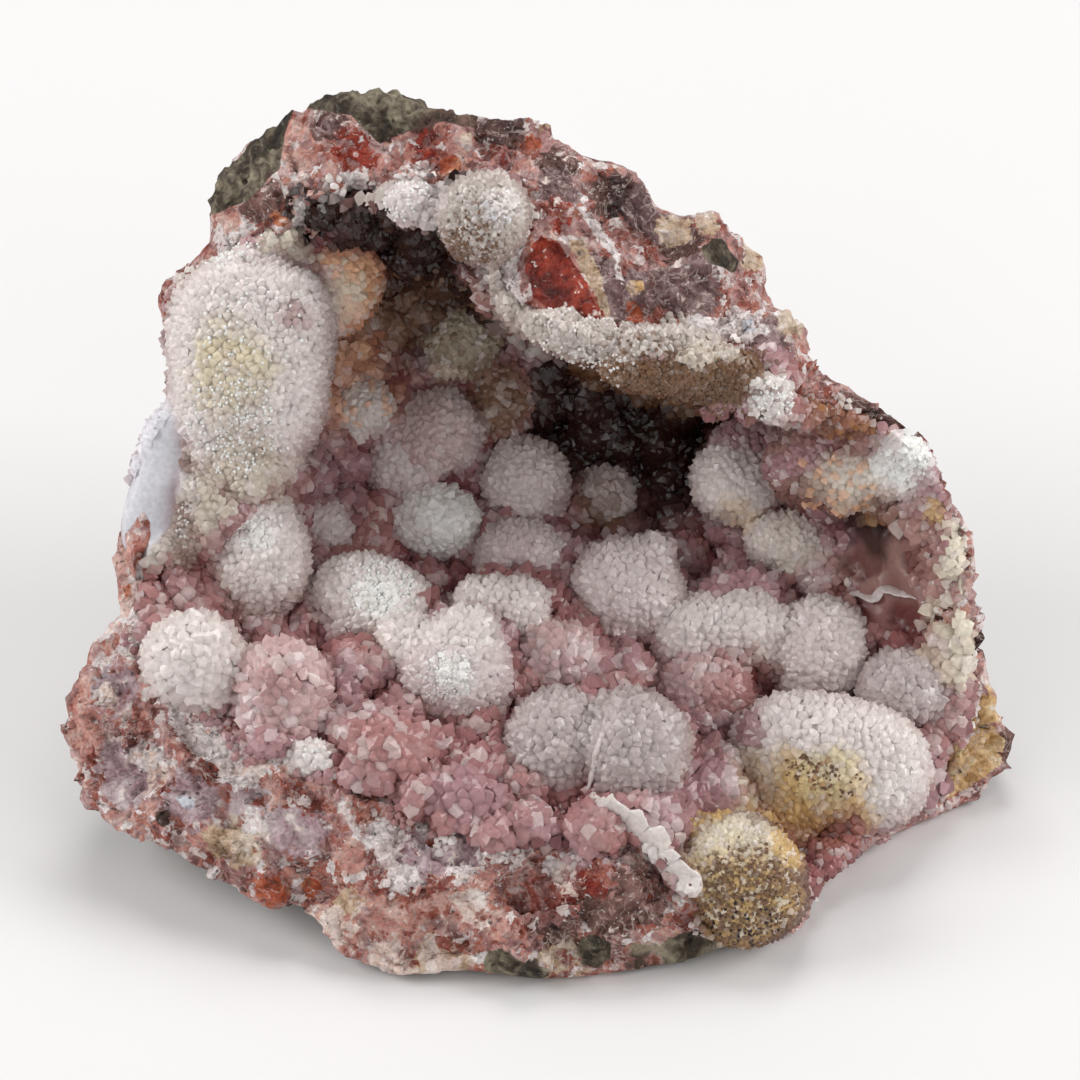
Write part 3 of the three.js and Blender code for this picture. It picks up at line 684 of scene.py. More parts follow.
def crystals(places, axes, radius, height, rings):
    """Closed six-sided points, one at each place: corners, faces, and each corner's share of the
    height, from the root (0) to the tip (1). Each ring is a share of the radius and of the height."""
    count = len(places)
    side = unit(np.cross(axes, rng.normal(size=(count, 3))))
    other = np.cross(axes, side)
    corners = []
    up = []
    for ring_radius, ring_height in rings:
        for k in range(SIDES):
            angle = 2 * math.pi * k / SIDES
            odd = 1 if k % 2 else -1
            reach = ring_radius * radius * rng.uniform(*WIDTHS, count)
            lift = height * (ring_height + rng.uniform(*LIFTS, count) + odd * ZIGZAG)
            across = math.cos(angle) * side + math.sin(angle) * other
            corners.append(places + reach[:, None] * across + lift[:, None] * axes)
            up.append(np.full(count, ring_height + odd * TINT_ZIGZAG))
    stray = rng.normal(0, TIP_STRAY, (count, 2)) * radius[:, None]
    corners.append(places + height[:, None] * axes + stray[:, :1] * side + stray[:, 1:] * other)
    corners.append(places - ROOT_DEPTH * height[:, None] * axes)
    up += [np.ones(count), np.zeros(count)]
    tip = SIDES * len(rings)
    pattern = []
    for k in range(SIDES):
        after = (k + 1) % SIDES
        pattern.append([after, k, tip + 1])
        for low in range(0, tip - SIDES, SIDES):
            high = low + SIDES
            pattern += [[low + k, low + after, high + after], [low + k, high + after, high + k]]
        pattern.append([tip - SIDES + k, tip - SIDES + after, tip])
    faces = np.array(pattern)[None] + (tip + 2) * np.arange(count)[:, None, None]
    return np.stack(corners, axis=1), faces, np.stack(up, axis=1)


# ---- materials ----
class Graph:
    """Short ways to add shader nodes to a material."""

    def __init__(self, name):
        self.material = bpy.data.materials.new(name)
        self.material.use_nodes = True
        self.nodes = self.material.node_tree.nodes
        self.links = self.material.node_tree.links
        self.shader = self.nodes["Principled BSDF"]
        self.coords = self.nodes.new("ShaderNodeTexCoord").outputs["Object"]

    def feed(self, node, inputs):
        """Gives a node's inputs, each by its name or number, a value or another node's output."""
        for name, value in inputs.items():
            socket = node.inputs[name]
            if isinstance(value, bpy.types.NodeSocket):
                self.links.new(value, socket)
            else:
                socket.default_value = (*value, 1) if socket.type == "RGBA" else value

    def node(self, kind, output, inputs, **settings):
        """Adds a node and gives back one of its outputs."""
        made = self.nodes.new("ShaderNode" + kind)
        for name, value in settings.items():
            setattr(made, name, value)
        self.feed(made, inputs)
        return made.outputs[output]

    def attribute(self, name, output="Fac"):
        return self.node("Attribute", output, {}, attribute_name=name)

    def noise(self, scale, detail, distortion=0.0, output="Fac"):
        inputs = {"Vector": self.coords, "Scale": scale, "Detail": detail, "Distortion": distortion}
        return self.node("TexNoise", output, inputs)

    def cells(self, output, scale, warp=0.0):
        """Cells' distances or random colours, their edges bent by noise of the given reach in metres."""
        where = self.coords
        if warp:
            bend = self.noise(2 * scale, 4, output="Color")
            inputs = {0: bend, 1: (2 * warp,) * 3, 2: self.coords}
            where = self.node("VectorMath", 0, inputs, operation="MULTIPLY_ADD")
        return self.node("TexVoronoi", output, {"Vector": where, "Scale": scale})

    def channel(self, colour, number):
        return self.node("SeparateColor", number, {0: colour})

    def math(self, operation, *values):
        return self.node("Math", 0, dict(enumerate(values)), operation=operation)

    def total(self, *terms):
        """The sum of values, each given with what it is multiplied by."""
        whole = 0.0
        for value, times in terms:
            whole = self.math("MULTIPLY_ADD", value, times, whole)
        return whole

    def spread(self, value, low, high, to_low=0.0, to_high=1.0):
        """Carries the range from low to high over to the other range, and holds it there."""
        return self.node("MapRange", "Result", {
            "Value": value, "From Min": low, "From Max": high, "To Min": to_low, "To Max": to_high,
        })

    def mix(self, share, first, second):
        return self.node("Mix", 2, {0: share, 6: first, 7: second}, data_type="RGBA")

    def ramp(self, value, *stops):
        """The colours of three stops, blended between them."""
        colour = self.node("ValToRGB", "Color", {"Fac": value})
        elements = colour.node.color_ramp.elements
        elements.new(0.5)
        for element, (at, code) in zip(elements, stops):
            element.position = at
            element.color = (*linear(code), 1)
        return colour

    def scaled(self, colour, factor):
        return self.node("VectorMath", 0, {0: colour, "Scale": factor}, operation="SCALE")

    def bump(self, height, strength, distance):
        inputs = {"Height": height, "Strength": strength, "Distance": distance * MM}
        self.feed(self.shader, {"Normal": self.node("Bump", "Normal", inputs)})


def druse_material(name, roughness, glow):
    """Milky quartz, coloured by the mesh. The glow is the share of light that goes under its surface."""
    g = Graph(name)
    grain = g.noise(1400, 3)
    g.feed(g.shader, {
        "Base Color": g.scaled(g.attribute("tint", "Color"), g.spread(grain, 0.3, 0.7, 0.88, 1.1)),
        "Roughness": roughness, "IOR": 1.54, "Specular IOR Level": 0.4,
        "Subsurface Weight": glow, "Subsurface Radius": (1.0, 0.85, 0.8), "Subsurface Scale": 0.0008,
    })
    g.bump(grain, 0.25, 0.2)
    return g.material


def colour_attribute(mesh, name, colours):
    layer = mesh.color_attributes.new(name, "FLOAT_COLOR", "POINT")
    data = np.ones((len(colours), 4), dtype=np.float32)
    data[:, :3] = np.clip(colours, 0, 1)
    layer.data.foreach_set("color", data.ravel())


def share_attribute(mesh, name, values):
    layer = mesh.attributes.new(name, "FLOAT", "POINT")
    layer.data.foreach_set("value", values.astype(np.float32))


def piece(name, mesh, material, slot, *nodes):
    """Puts a mesh in the scene on the body root, in place of the nodes that it stands for."""
    body = bpy.data.objects.new(name, mesh)
    bpy.context.scene.collection.objects.link(body)
    mesh.materials.append(material)
    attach(body, "root")
    if nodes:
        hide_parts(*nodes)


# ---- the rock ----
# Where each mineral shows: px, py, reach in pixels, strength.
ROCK_MINERALS = {
    "umber": [(328, 128, 24, 1), (262, 203, 30, 1), (420, 118, 26, 0.7), (500, 128, 36, 1),
              (560, 160, 30, 0.8), (610, 195, 40, 0.9), (680, 240, 40, 0.8), (870, 420, 50, 0.9),
              (900, 430, 40, 0.9), (1010, 745, 26, 1), (960, 810, 30, 1), (580, 930, 70, 0.6),
              (310, 850, 40, 0.5), (820, 350, 50, 0.9), (975, 640, 20, 0.8), (380, 115, 30, 0.6),
              (640, 900, 50, 0.7), (240, 880, 40, 0.4), (860, 385, 40, 0.9)],
    "salmon": [(290, 130, 22, 1), (300, 160, 20, 0.8), (84, 740, 34, 0.8), (90, 700, 34, 0.8),
               (400, 920, 50, 0.7), (470, 900, 50, 0.6), (330, 930, 40, 1), (350, 858, 22, 1),
               (230, 218, 22, 0.8), (270, 800, 30, 0.6), (430, 880, 30, 0.6), (125, 560, 20, 0.9),
               (120, 600, 20, 0.8), (500, 930, 40, 0.5)],
    "agate": [(650, 215, 44, 0.9), (690, 285, 50, 1), (560, 190, 34, 0.6), (770, 340, 40, 0.8),
              (640, 290, 40, 0.8), (330, 130, 24, 0.5), (500, 150, 30, 0.5), (270, 830, 26, 0.5)],
    "lilac": [(130, 770, 46, 1), (190, 800, 40, 0.9), (115, 690, 40, 0.7), (420, 850, 50, 0.8),
              (460, 840, 46, 0.7), (300, 830, 40, 0.8), (590, 860, 40, 0.5), (250, 800, 36, 0.6)],
    "tan": [(675, 228, 24, 1), (708, 222, 20, 1), (748, 255, 24, 0.9), (440, 970, 40, 0.9),
            (560, 975, 50, 0.6), (700, 950, 50, 0.6), (230, 845, 40, 0.8), (200, 872, 26, 0.9),
            (790, 320, 26, 0.6), (500, 108, 20, 1), (540, 128, 20, 0.7), (635, 287, 12, 0.9),
            (470, 135, 14, 0.6), (345, 900, 30, 0.6)],
    "gold": [(985, 710, 30, 0.8), (960, 560, 24, 0.6), (940, 690, 12, 0.8), (640, 285, 10, 0.8)],
    "orange": [(533, 143, 14, 0.8), (448, 166, 16, 0.9), (270, 893, 30, 0.8), (280, 218, 14, 0.8),
               (160, 290, 12, 1), (122, 522, 14, 1), (606, 172, 14, 0.5), (312, 888, 16, 0.8),
               (575, 880, 20, 0.4), (935, 680, 14, 0.9), (128, 590, 9, 0.8)],
    "flame": [(236, 237, 26, 1), (222, 800, 11, 1), (198, 775, 11, 1), (525, 895, 17, 0.9),
              (622, 857, 14, 1), (450, 893, 20, 0.6), (440, 150, 22, 0.7), (300, 150, 18, 0.5),
              (330, 160, 24, 0.4)],
    "jasper": [(352, 158, 44, 0.5), (428, 152, 36, 0.55), (590, 880, 34, 0.55), (555, 215, 30, 0.5),
               (605, 235, 14, 0.5), (250, 190, 14, 0.5), (560, 905, 30, 0.6), (500, 160, 16, 0.5)],
    "white": [(106, 697, 17, 1), (310, 757, 26, 1), (497, 845, 28, 1), (552, 866, 14, 1),
              (388, 840, 30, 0.9), (392, 962, 20, 1), (330, 945, 14, 0.8), (145, 760, 30, 0.8),
              (745, 320, 30, 0.9), (700, 330, 22, 0.7), (235, 252, 24, 1), (354, 184, 24, 0.8),
              (415, 196, 26, 0.9), (965, 560, 24, 0.5), (508, 200, 16, 0.8), (400, 880, 26, 0.8),
              (145, 570, 12, 1), (148, 620, 22, 1), (130, 650, 18, 0.9), (430, 820, 26, 0.8),
              (770, 400, 20, 0.8), (460, 870, 20, 0.7), (250, 820, 20, 0.6), (520, 850, 16, 0.8)],
    "bluish": [(750, 325, 10, 1), (185, 800, 16, 0.6)],
    "chalk": [(330, 935, 34, 0.8), (392, 962, 30, 0.9), (440, 960, 30, 0.6), (110, 700, 24, 0.5),
              (560, 885, 30, 0.5), (470, 905, 30, 0.5), (150, 770, 30, 0.5), (250, 760, 30, 0.7)],
}
MINERAL_OUTLINES = {
    "agate": [[(585, 247), (604, 256), (618, 262), (625, 300), (626, 320), (610, 326), (603, 290),
               (594, 266)]],
    "jasper": [JASPER_FACE],
    "flame": [[(110, 724), (122, 708), (145, 704), (166, 712), (160, 728), (140, 723), (125, 733)],
              [(386, 803), (380, 822), (354, 842), (342, 858), (334, 848), (350, 824), (366, 806)]],
    "orange": [[(627, 303), (636, 300), (645, 318), (640, 325), (627, 322)],
               [(649, 321), (662, 321), (667, 331), (652, 332)]],
    "white": [[(166, 700), (190, 694), (202, 728), (236, 738), (268, 764), (256, 788), (234, 790),
               (214, 766), (190, 752), (170, 726)],
              [(577, 208), (584, 206), (604, 230), (620, 252), (624, 280), (617, 280), (612, 256),
               (596, 238)],
              [(508, 206), (536, 205), (530, 232), (518, 262), (522, 300), (545, 322), (600, 340),
               (660, 330), (740, 316), (745, 340), (600, 360), (520, 345), (500, 300), (500, 236)]],
    "gold": [[(926, 770), (934, 688), (960, 690), (985, 722), (1006, 740), (1000, 764), (968, 790),
             (930, 804)]],
    "tan": [[(568, 240), (584, 240), (600, 272), (612, 326), (606, 330), (592, 290), (578, 262)]],
    "skin": [[(200, 182), (206, 160), (238, 160), (256, 132), (282, 98), (316, 86), (370, 88), (404, 80),
              (440, 98), (480, 110), (476, 128), (440, 122), (405, 133), (380, 145), (352, 116),
              (326, 111), (295, 107), (284, 138), (280, 168), (246, 202), (205, 218)],
             [(699, 246), (716, 240), (740, 260), (736, 274), (708, 262)]],
}
FLAT_FACES = [JASPER_FACE, BARE[0][2]]  # broken clean, with no roughness
SKIN_SPOTS = [
    (505, 965, 26, 1), (530, 975, 26, 1), (594, 950, 26, 0.9), (690, 950, 40, 0.8), (1016, 760, 24, 0.8),
    (163, 818, 13, 0.9), (720, 250, 20, 1), (640, 968, 40, 0.6),
]
MOSS_SPOTS = [
    (330, 100, 130, 1), (230, 170, 70, 1), (560, 970, 110, 1), (690, 950, 60, 1), (720, 250, 40, 1),
]
ROCK_TONES = {  # dark, middle and light
    "ground": ("6e403a", "b48884", "e2c8c4"),
    "umber": ("2a1a18", "5c3c36", "967068"),
    "salmon": ("a4645a", "cc9184", "eacabe"),
    "agate": ("3a2a2a", "745655", "baa09e"),
    "lilac": ("7c5c60", "b89aa0", "e2d4d6"),
    "tan": ("8a6850", "c8aa8c", "ecdccc"),
    "orange": ("7c3420", "b4583a", "d8906c"),
    "jasper": ("380f0a", "7e2619", "b84a34"),
    "flame": ("7e2a18", "b8482c", "dc8464"),
    "gold": ("a07440", "d8b07c", "f0deba"),
    "white": ("c2aeaa", "eee2df", "fefaf9"),
    "chalk": ("c2a298", "eacfc2", "faeee8"),
    "bluish": ("b8b8c2", "d6dae4", "eceef4"),
    "skin": ("241c18", "5c463c", "94786a"),
    "moss": ("15120f", "4c4236", "a49a84"),
    "rust": ("6a2c24", "a05a4c", "cc9282"),
}
RIM_DISPLACEMENT = [(10, 1.5), (4.5, 0.9), (2.1, 0.45)]  # reach and height of broken planes
# How far noise moves a mineral's edge, where it isn't 2.
RAGGED = {"jasper": 1.7, "flame": 1.5, "chalk": 3.0, "gold": 1.6, "orange": 1.7, "bluish": 1.2}
TONE_STOPS = (0.36, 0.49, 0.64)  # of the marbling
REFINED_ABOVE = 0.3  # share of rim from which the mesh is made twice as fine
BASE_FADE = (0.6, 5)  # mm above the floor, between which the relief begins
SKIN_ENDS = (-0.3, 0.0)  # how far the surface faces the eye, from all skin to all fresh rock


def refined(points, faces, wanted):
    """The same surface with the edges between wanted corners cut in two."""
    mesh = mesh_of("refined", points, faces)
    bm = bmesh.new()
    bm.from_mesh(mesh)
    bm.verts.ensure_lookup_table()
    cut = [e for e in bm.edges if wanted[e.verts[0].index] and wanted[e.verts[1].index]]
    bmesh.ops.subdivide_edges(bm, edges=cut, cuts=1, use_grid_fill=True)
    bmesh.ops.triangulate(bm, faces=bm.faces)
    bm.to_mesh(mesh)
    bm.free()
    result = arrays_of(mesh)
    bpy.data.meshes.remove(mesh)
    return result


def rim_share(points, faces):
    """How far each corner belongs to the broken rim, and the surface's broad normals."""
    broad = broad_normals(points, faces, 12)
    return smoothstep(broad @ OUT, 0.1, 0.45), broad


def rock_surface():
    """The rock with broken planes on its rim and a lumpy, pitted skin outside. Also gives how far each
    corner belongs to the rim, and how far it is fresh rock."""
    points, faces = voxelled(*rock_cad, ROCK_VOXEL)
    points = smoothed(points, faces, ROCK_SMOOTHING)
    share, _ = rim_share(points, faces)
    points, faces = refined(points, faces, share > REFINED_ABOVE)
    rim, broad = rim_share(points, faces)
    broken = sum(high * facets(points, reach, i) for i, (reach, high) in enumerate(RIM_DISPLACEMENT))
    lumps = 1.1 * fractal(points, 9, 61) + 0.5 * fractal(points, 2.6, 71)
    pits = -0.8 * smoothstep(fractal(points, 3.2, 81), 0.45, 0.9)
    ledge = 0.9 * facets(points, 6, 4)
    skin = lumps + pits + ledge
    basalt = np.max([inside(points, outline, -8, 8) for outline in MINERAL_OUTLINES["skin"]], axis=0)
    layered = 0.9 * facets(points * np.array([1, 1, 2.2]), 3, 5) + 0.5 * fractal(points, 2, 7)
    broken += basalt * (layered - broken)
    for outline in FLAT_FACES:
        broken *= 1 - inside(points, outline, -5, 3)
    height = smoothstep(points[:, 2], *BASE_FADE) * (rim * broken + (1 - rim) * skin)
    points = points + broad * height[:, None]
    points[:, 2] = np.maximum(points[:, 2], 0)
    return points, faces, rim, smoothstep(broad @ OUT, *SKIN_ENDS)


def mineral_share(points, spots, tree):
    return np.max([
        strength * nearness(points, tree, px, py, reach, 0.3, 1.25) for px, py, reach, strength in spots
    ], axis=0)


def rock_material():
    """Patches of minerals with ragged edges over broken ground, then veins, cracks, skin, painted glints
    and dark specks of painted shade.
    """
    g = Graph("jasper_rock")
    coarse = g.noise(110, 6, 1.0)
    middle = g.noise(420, 8, 0.8)
    fine = g.noise(1500, 5)
    shard = g.cells("Color", 300, 0.0012)
    chunk = g.cells("Color", 620, 0.0008)
    marbling = g.total((coarse, 0.6), (middle, 0.4))
    pick = g.total((g.channel(shard, 0), 0.6), (g.channel(chunk, 0), 0.4))
    ragged = g.math("SUBTRACT", g.total((coarse, 0.4), (middle, 0.6)), 0.5)
    uneven = g.math("SUBTRACT", pick, 0.5)

    def tone(name):
        return g.ramp(marbling, *zip(TONE_STOPS, ROCK_TONES[name]))

    def edged(name, raggedness, unevenness=0.0):
        """A mineral's share with noise on its edge."""
        return g.total((g.attribute(name), 1.0), (ragged, raggedness), (uneven, unevenness))

    def lines(scale, detail, distortion, width, core, in_jasper):
        """Thin lines where noise crosses its middle, as strong as the share of jasper says."""
        away = g.math("ABSOLUTE", g.math("SUBTRACT", g.noise(scale, detail, distortion), 0.5))
        return g.math("MULTIPLY", g.spread(away, width, core), g.spread(g.attribute("jasper"), *in_jasper))

    skin = g.spread(edged("skin", 1.2), 0.45, 0.58)
    moss = g.spread(edged("moss", 1.5), 0.4, 0.6)
    # painted highlights: pale flecks for the glints of tiny crystals, fewer on the skin
    glints = g.math("MULTIPLY", g.spread(g.noise(1100, 2), 0.66, 0.72), g.spread(skin, 0, 1, 0.75, 0.15))
    # dark specks of painted shade, standing for small pits
    pits = g.math("MULTIPLY", g.spread(g.noise(700, 3), 0.34, 0.28), 0.8)
    layers = [
        (g.spread(pick, 0.36, 0.3), tone("rust")),
        (g.spread(pick, 0.6, 0.66), tone("salmon")),
        (g.spread(g.channel(chunk, 1), 0.84, 0.9), tone("white")),
    ]
    for name in ROCK_MINERALS:
        raggedness = RAGGED.get(name, 2.0)
        layers.append((g.spread(edged(name, raggedness, 0.25 * raggedness), 0.42, 0.54), tone(name)))
    layers += [
        (lines(170, 6, 1.6, 0.02, 0.004, (0.3, 0.0, 0.0, 0.6)), linear("cdb9b2")),
        (lines(240, 3, 2.5, 0.012, 0.003, (0.3, 0.6, 0.0, 0.7)), linear("2a0c0a")),
        (skin, g.mix(moss, tone("skin"), tone("moss"))),
        (glints, linear("ece2dc")),
        (pits, linear("1e1412")),
        (g.attribute("frost"), linear("d9d0cc")),
    ]
    base = tone("ground")
    for share, colour in layers:
        base = g.mix(share, base, colour)
    g.feed(g.shader, {
        "Base Color": g.scaled(base, g.spread(fine, 0.3, 0.7, 0.8, 1.16)),
        "Specular IOR Level": 0.3,
        "Roughness": g.total((g.spread(middle, 0.35, 0.65, 0.16, 0.45), 1.0), (skin, 0.4)),
    })
    g.bump(g.total((middle, 1.4), (fine, 0.5), (g.cells("Distance", 900), 0.6)), 0.9, 0.9)
    return g.material


# ---- making the pieces ----
MOST_TRIANGLES = 190000  # in one piece
DRUSE_RINGS = [(1.2, -0.1), (0.58, 0.55)]  # shares of a crystal's radius and height
GRAIN_RINGS = [(1, 0.2)]
EVENING = 0.52  # how far a crystal's shading follows the crust's, as light inside real ones does
LIT_FROM = np.array([0.0, -0.5, 0.87])  # painted shade: the crust is painted darker where it turns away from light that comes from here
# colour factors of that painted shade, and of the painted shade where the crust lies sunken between its
# neighbours
TURNED_SHADE = np.array([0.68, 0.576, 0.576])
SUNKEN_SHADE = np.array([0.55, 0.37, 0.37])
GROUND_SHADE = 0.8  # painted shade of the crust below the crystals
PALE_CHANCE = 0.2  # of a crystal being paler than the crust, where that is neither dark nor sunken
PALENESS = 0.45
BARE_MARGIN = 3  # pixels round a bare place that stay free of crystals
OPEN_SHARE = 0.9  # of a face's corners that look into the open, where crystals stand
GRAINS_FROM = 0.05  # share from which a face bears grains, chips or spilt crystals
CHIPS_FROM = 0.35
SPILL_FROM = 0.4
CHIP_SPACING = 1.15  # in mm
SPILL_SPACING = 0.95
# How far crystals lean, their radius over their spacing, and their height over their radius.
DRUSE = (0.2, (0.85, 1.15), (0.85, 1.4))
CHIPS = (0.45, (0.3 / CHIP_SPACING, 0.85 / CHIP_SPACING), (0.6, 1.1))
SPILL = (0.3, (0.6, 0.95), (0.8, 1.4))
GRAIN_RADIUS = (0.2, 0.36)  # in mm
GRAIN_HEIGHT = 1.7  # over its radius
GRAIN_LEAN = 0.35
EDGE_REACH = 7  # how far the lining's edge is looked for, in mm


def evened(mesh, points, faces, broad):
    """Shading normals between each facet's own and the crust's."""
    a, b, c = points[faces[:, 0]], points[faces[:, 1]], points[faces[:, 2]]
    own_normals = unit(np.cross(b - a, c - a))
    mixed = unit(own_normals + EVENING * (broad - own_normals))
    mesh.normals_split_custom_set(np.repeat(mixed, 3, axis=0))


def grown(name, places, axes, radius, height, rings, material, slot, paint, broad=None):
    """Crystals as pieces of no more than MOST_TRIANGLES; paint gives each mesh its attributes."""
    corners, faces, up = crystals(places, axes, radius, height, rings)
    size = corners.shape[1]
    most = MOST_TRIANGLES // faces.shape[1]
    for n, start in enumerate(range(0, len(places), most)):
        some = slice(start, start + most)
        points = corners[some].reshape(-1, 3)
        numbers = (faces[some] - size * start).reshape(-1, 3)
        mesh = mesh_of(f"{name}_{n}", points, numbers, smooth=broad is not None)
        if broad is not None:
            evened(mesh, points, numbers, np.repeat(broad[some], faces.shape[1], axis=0))
        paint(mesh, some, up[some])
        piece(f"{name}_{n}", mesh, material, slot)


def tinted(colours, root, rise):
    """Paints crystals in a colour each, with less light at the root and more toward the tip."""

    def paint(mesh, some, up):
        tint = colours[some][:, None, :] * (root + rise * up)[:, :, None]
        colour_attribute(mesh, "tint", tint.reshape(-1, 3))

    return paint


def on_faces(share, faces):
    """The mean of each face's corners."""
    return share[faces].mean(axis=1)


rock_points, rock_faces, rim, fresh = rock_surface()
rock_normals = broad_normals(rock_points, rock_faces, 2)
rock_tree = tree_of(rock_points, rock_faces)
lining_points, lining_faces, knob_middles = lining_surface(rock_tree, rim[rock_faces[:, 0]])
lining_normals = broad_normals(lining_points, lining_faces, 2)
lining_tree = tree_of(lining_points, lining_faces)

# the rock
shares = {name: mineral_share(rock_points, spots, rock_tree) for name, spots in ROCK_MINERALS.items()}
shares["skin"] = mineral_share(rock_points, SKIN_SPOTS, rock_tree)
for name, outlines in MINERAL_OUTLINES.items():
    for outline in outlines:
        shares[name] = np.maximum(shares[name], inside(rock_points, outline, -5, 5))
for name in ROCK_MINERALS:
    shares[name] = shares[name] * fresh
shares["skin"] = np.maximum(1 - fresh, shares["skin"])
shares["moss"] = np.maximum(mineral_share(rock_points, MOSS_SPOTS, rock_tree), 0.5 * (1 - fresh))
rock_mesh = mesh_of("geode_rock", rock_points, rock_faces)
for mineral, share in shares.items():
    share_attribute(rock_mesh, mineral, share)
stone = rock_material()
piece("geode_rock", rock_mesh, stone, "rock", "rock_shell")

# the lining, with painted shade where it turns away from the light and where it lies deep between its
# neighbours
lining_mesh = mesh_of("chalcedony_lining", lining_points, lining_faces)
base_colour = lining_colour(lining_points, knob_middles, lining_tree)
chalcedony = druse_material("chalcedony", 0.35, 0.2)
piece("chalcedony_lining", lining_mesh, chalcedony, "chalcedony", "crystal_crust")
rise = smoothed(lining_points, lining_faces, 30) - lining_points
sunken = smoothstep(np.einsum("ij,ij->i", rise, lining_normals), -0.2, 1.2)[:, None]
turned = 1 - smoothstep(lining_normals @ LIT_FROM, -0.25, 0.75)[:, None]
# the whitest spots are spared the painted shade of turning away
turned *= 1 - smoothstep(base_colour.mean(axis=1), 0.8, 0.95)[:, None]
base_colour = base_colour * (1 + turned * (TURNED_SHADE - 1)) * (1 + sunken * (SUNKEN_SHADE - 1))
colour_attribute(lining_mesh, "tint", base_colour * GROUND_SHADE)

# the single crystals on it
bare = np.max([within(lining_points, outline) for _, _, outline in BARE], axis=0) > -BARE_MARGIN
is_open = open_corners(lining_points, lining_normals, rock_tree) * ~bare
is_open = on_faces(is_open, lining_faces) > OPEN_SHARE
spacing = spacing_at(lining_points, knob_middles)
places, nearest, axes, radius, height = strewn(
    lining_points, lining_faces, lining_normals, is_open, spacing, *DRUSE
)
# each crystal takes the crust's colour below it, painted shade and all
own = base_colour[nearest] * rng.normal(1, 0.05, (len(places), 1))
pale_ones = rng.random(len(places)) < PALE_CHANCE
bright = (smoothstep(base_colour.mean(axis=1), 0.05, 0.2)[:, None] * (1 - sunken))[nearest][pale_ones]
own[pale_ones] += PALENESS * bright * (COLOURS["milk"] - own[pale_ones])
for px, py, reach, chance, name in SPECKLES:
    near = nearness(places, lining_tree, px, py, reach, 0.6, 1.1)
    chosen = rng.random(len(places)) < chance * near
    speckle = COLOURS[name] * rng.uniform(0.75, 1.1, (chosen.sum(), 1))
    own[chosen] += SPECKLE_STRENGTH * (speckle - own[chosen])
druse = druse_material("druse", 0.22, 0.0)
grown("druse", places, axes, radius, height, DRUSE_RINGS, druse, "chalcedony",
      tinted(own, 0.93, 0.07), lining_normals[nearest])


# fine grains that sit on the crystals
def in_grains(points, px, py, reach, *_):
    """How far each point lies in a patch of grains on the lining."""
    return nearness(points, lining_tree, px, py, reach, 0.5, 1.1)


zone = np.max([in_grains(lining_points, *patch) for patch in GRAINS], axis=0)
wanted = is_open * (on_faces(zone, lining_faces) > GRAINS_FROM)
places, nearest, _ = scattered(lining_points, lining_faces, wanted, GRAIN_SPACING)
own = np.zeros((len(places), 3))
kept = np.zeros(len(places), dtype=bool)
for patch in GRAINS:
    chance, name = patch[3:]
    chosen = rng.random(len(places)) < chance * in_grains(places, *patch)
    own[chosen] = COLOURS[name] * rng.uniform(0.85, 1.1, (chosen.sum(), 1))
    kept |= chosen
nearest = nearest[kept]
broad = lining_normals[nearest]
places = places[kept] + (0.5 * spacing[nearest])[:, None] * broad
radius = rng.uniform(*GRAIN_RADIUS, len(places))
axes = unit(broad + rng.normal(0, GRAIN_LEAN, (len(places), 3)))
grown("grains", places, axes, radius, GRAIN_HEIGHT * radius, GRAIN_RINGS, druse, "chalcedony",
      tinted(own[kept], 0.85, 0.15), broad)

# the thin crests
crest_parts = [crest(lining_tree, *values) for _, *values in CRESTS]
crest_points, crest_faces = joined(crest_parts)
crest_mesh = mesh_of("clear_crests", crest_points, crest_faces)
crest_tone = 0.9 + 0.1 * fractal(crest_points, 2, 97)[:, None]
crest_names = [values[0] for values, part in zip(CRESTS, crest_parts) for _ in part[0]]
colour_attribute(crest_mesh, "tint", np.array([COLOURS[name] for name in crest_names]) * crest_tone)
piece("clear_crests", crest_mesh, druse_material("clear", 0.25, 0.4), "chalcedony")

# chips that cling to the broken rim
to_lining = [lining_tree.find_nearest(Vector(p), EDGE_REACH)[3] for p in rock_points]
to_lining = np.array([EDGE_REACH if far is None else far for far in to_lining])
clumps = fractal(rock_points, 7, 101)
shown = rim * (to_lining > 0.05)
chance = clumps + 1.1 * shares["white"] - 1.5 * shares["jasper"] - shares["skin"]
chance = shown * smoothstep(chance, 0.45, 0.95)
wanted = on_faces(chance, rock_faces) > CHIPS_FROM
places, nearest, axes, radius, height = strewn(
    rock_points, rock_faces, rock_normals, wanted, CHIP_SPACING, *CHIPS
)
frost = np.clip(rng.normal(0.1, 0.25, len(places)) + 0.5 * shares["white"][nearest], 0, 0.9)
frost *= 1 - np.maximum(shares["umber"], shares["skin"])[nearest]
chip_shares = {mineral: share[nearest] for mineral, share in shares.items()} | {"frost": frost}


def chip_paint(mesh, some, up):
    for mineral, share in chip_shares.items():
        share_attribute(mesh, mineral, np.repeat(share[some], up.shape[1]))


grown("rim_chips", places, axes, radius, height, GRAIN_RINGS, stone, "rock", chip_paint)

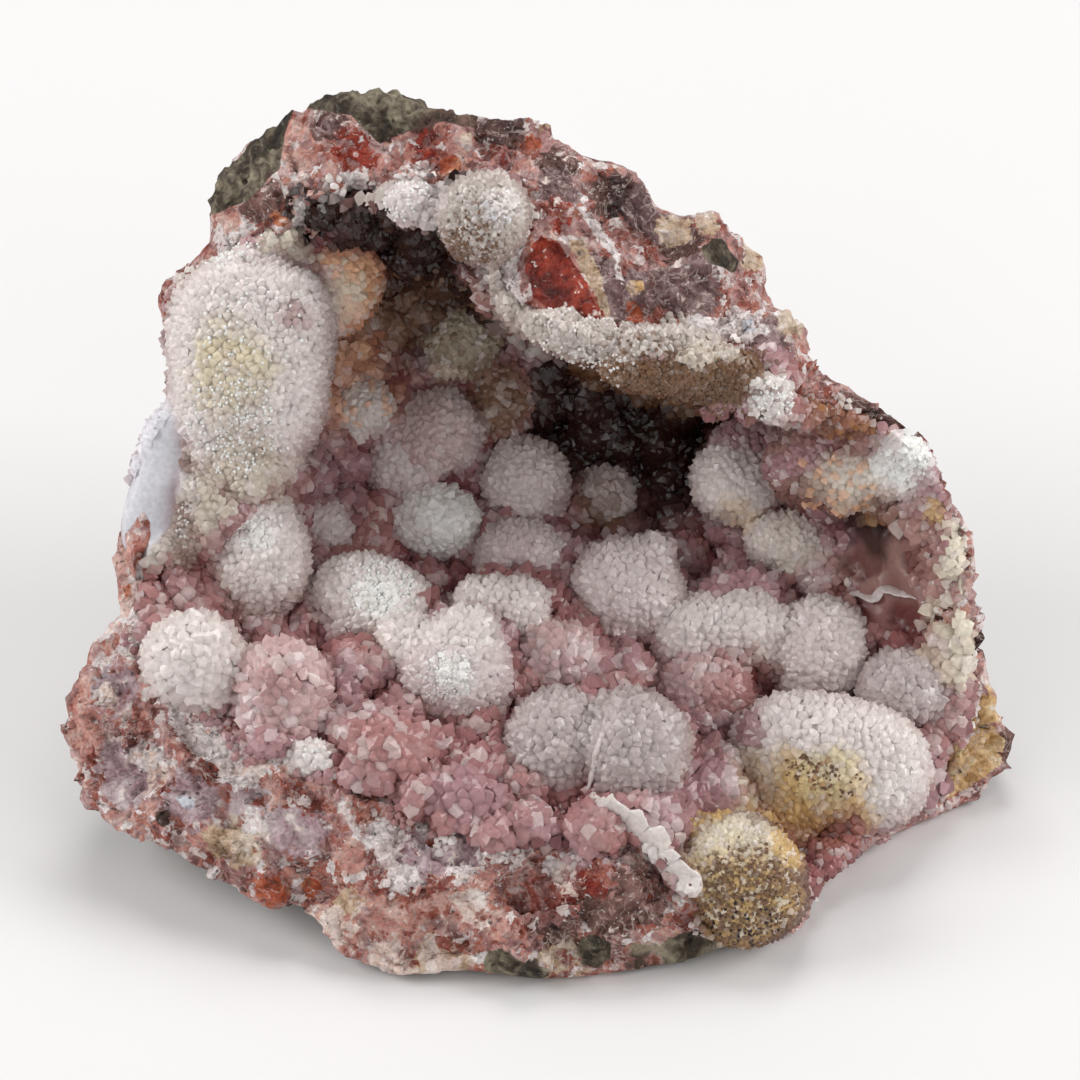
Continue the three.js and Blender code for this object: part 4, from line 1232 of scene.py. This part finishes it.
# crystals that spill over the mouth's edge onto the rock
spill = shown * smoothstep(EDGE_REACH - to_lining + 4 * clumps, 5.5, 7.5)
for outline in CLEAN_EDGES:
    spill = spill * (within(rock_points, outline) < 0)
wanted = on_faces(spill, rock_faces) > SPILL_FROM
places, nearest, axes, radius, height = strewn(
    rock_points, rock_faces, rock_normals, wanted, SPILL_SPACING, *SPILL
)
own = lining_colour(places, knob_middles, lining_tree)
own = toward(own, smoothstep(fractal(places, 5, 111), -0.3, 0.5), "white")
grown("edge_druse", places, axes, radius, height, GRAIN_RINGS, druse, "chalcedony",
      tinted(own, 0.85, 0.2), rock_normals[nearest])


# ---- the floor, the light and the camera ----
PAPER = (0.84, 0.835, 0.835)
FLOOR_SIZE = 6  # m


def stage():
    bpy.ops.mesh.primitive_plane_add(size=FLOOR_SIZE, location=(0, 0, 0))
    floor = bpy.context.object
    floor.name = "floor"
    paper = Graph("paper")
    paper.feed(paper.shader, {"Base Color": PAPER, "Roughness": 0.8, "Specular IOR Level": 0.2})
    floor.data.materials.append(paper.material)


DAYLIGHT = (1.0, 0.986, 0.98)
LAMP_SIZE = 0.5  # m
LAMPS = {  # where in m, and power in W
    "back": ((0, 0.5, 0.8), 3.8),
    "left": ((-0.8, 0, 0.5), 4.5),
    "right": ((0.8, 0, 0.5), 4.6),
    "front": ((-0.5, -0.65, 0.6), 1.1),
    "low": ((0.0, -0.8, 0.12), 0.6),
    "fill": ((0.6, -0.7, 0.5), 1.5),
}
LIT_POINT = Vector((0, 0, 0.04))
SKY = 0.19  # strength of the light from all round


def lamp(name, at, power):
    light = bpy.data.lights.new(name, "AREA")
    light.size = LAMP_SIZE
    light.energy = power
    light.color = DAYLIGHT
    holder = bpy.data.objects.new(name, light)
    holder.location = at
    holder.rotation_euler = (LIT_POINT - Vector(at)).to_track_quat("-Z", "Y").to_euler()
    bpy.context.scene.collection.objects.link(holder)


def surroundings():
    scene = bpy.context.scene
    scene.world = bpy.data.worlds.new("studio")
    scene.world.use_nodes = True
    sky = scene.world.node_tree.nodes["Background"]
    sky.inputs["Color"].default_value = (1, 1, 1, 1)
    sky.inputs["Strength"].default_value = SKY
    for name, (at, power) in LAMPS.items():
        lamp(name, at, power)
    scene.view_settings.view_transform = "Standard"
    lens = bpy.data.cameras.new("camera")
    lens.lens = LENS
    lens.sensor_width = SENSOR
    camera = bpy.data.objects.new("camera", lens)
    camera.location = Vector(EYE * MM)
    camera.rotation_euler = Vector((MIDDLE - EYE) * MM).to_track_quat("-Z", "Y").to_euler()
    scene.collection.objects.link(camera)
    scene.camera = camera


stage()
surroundings()
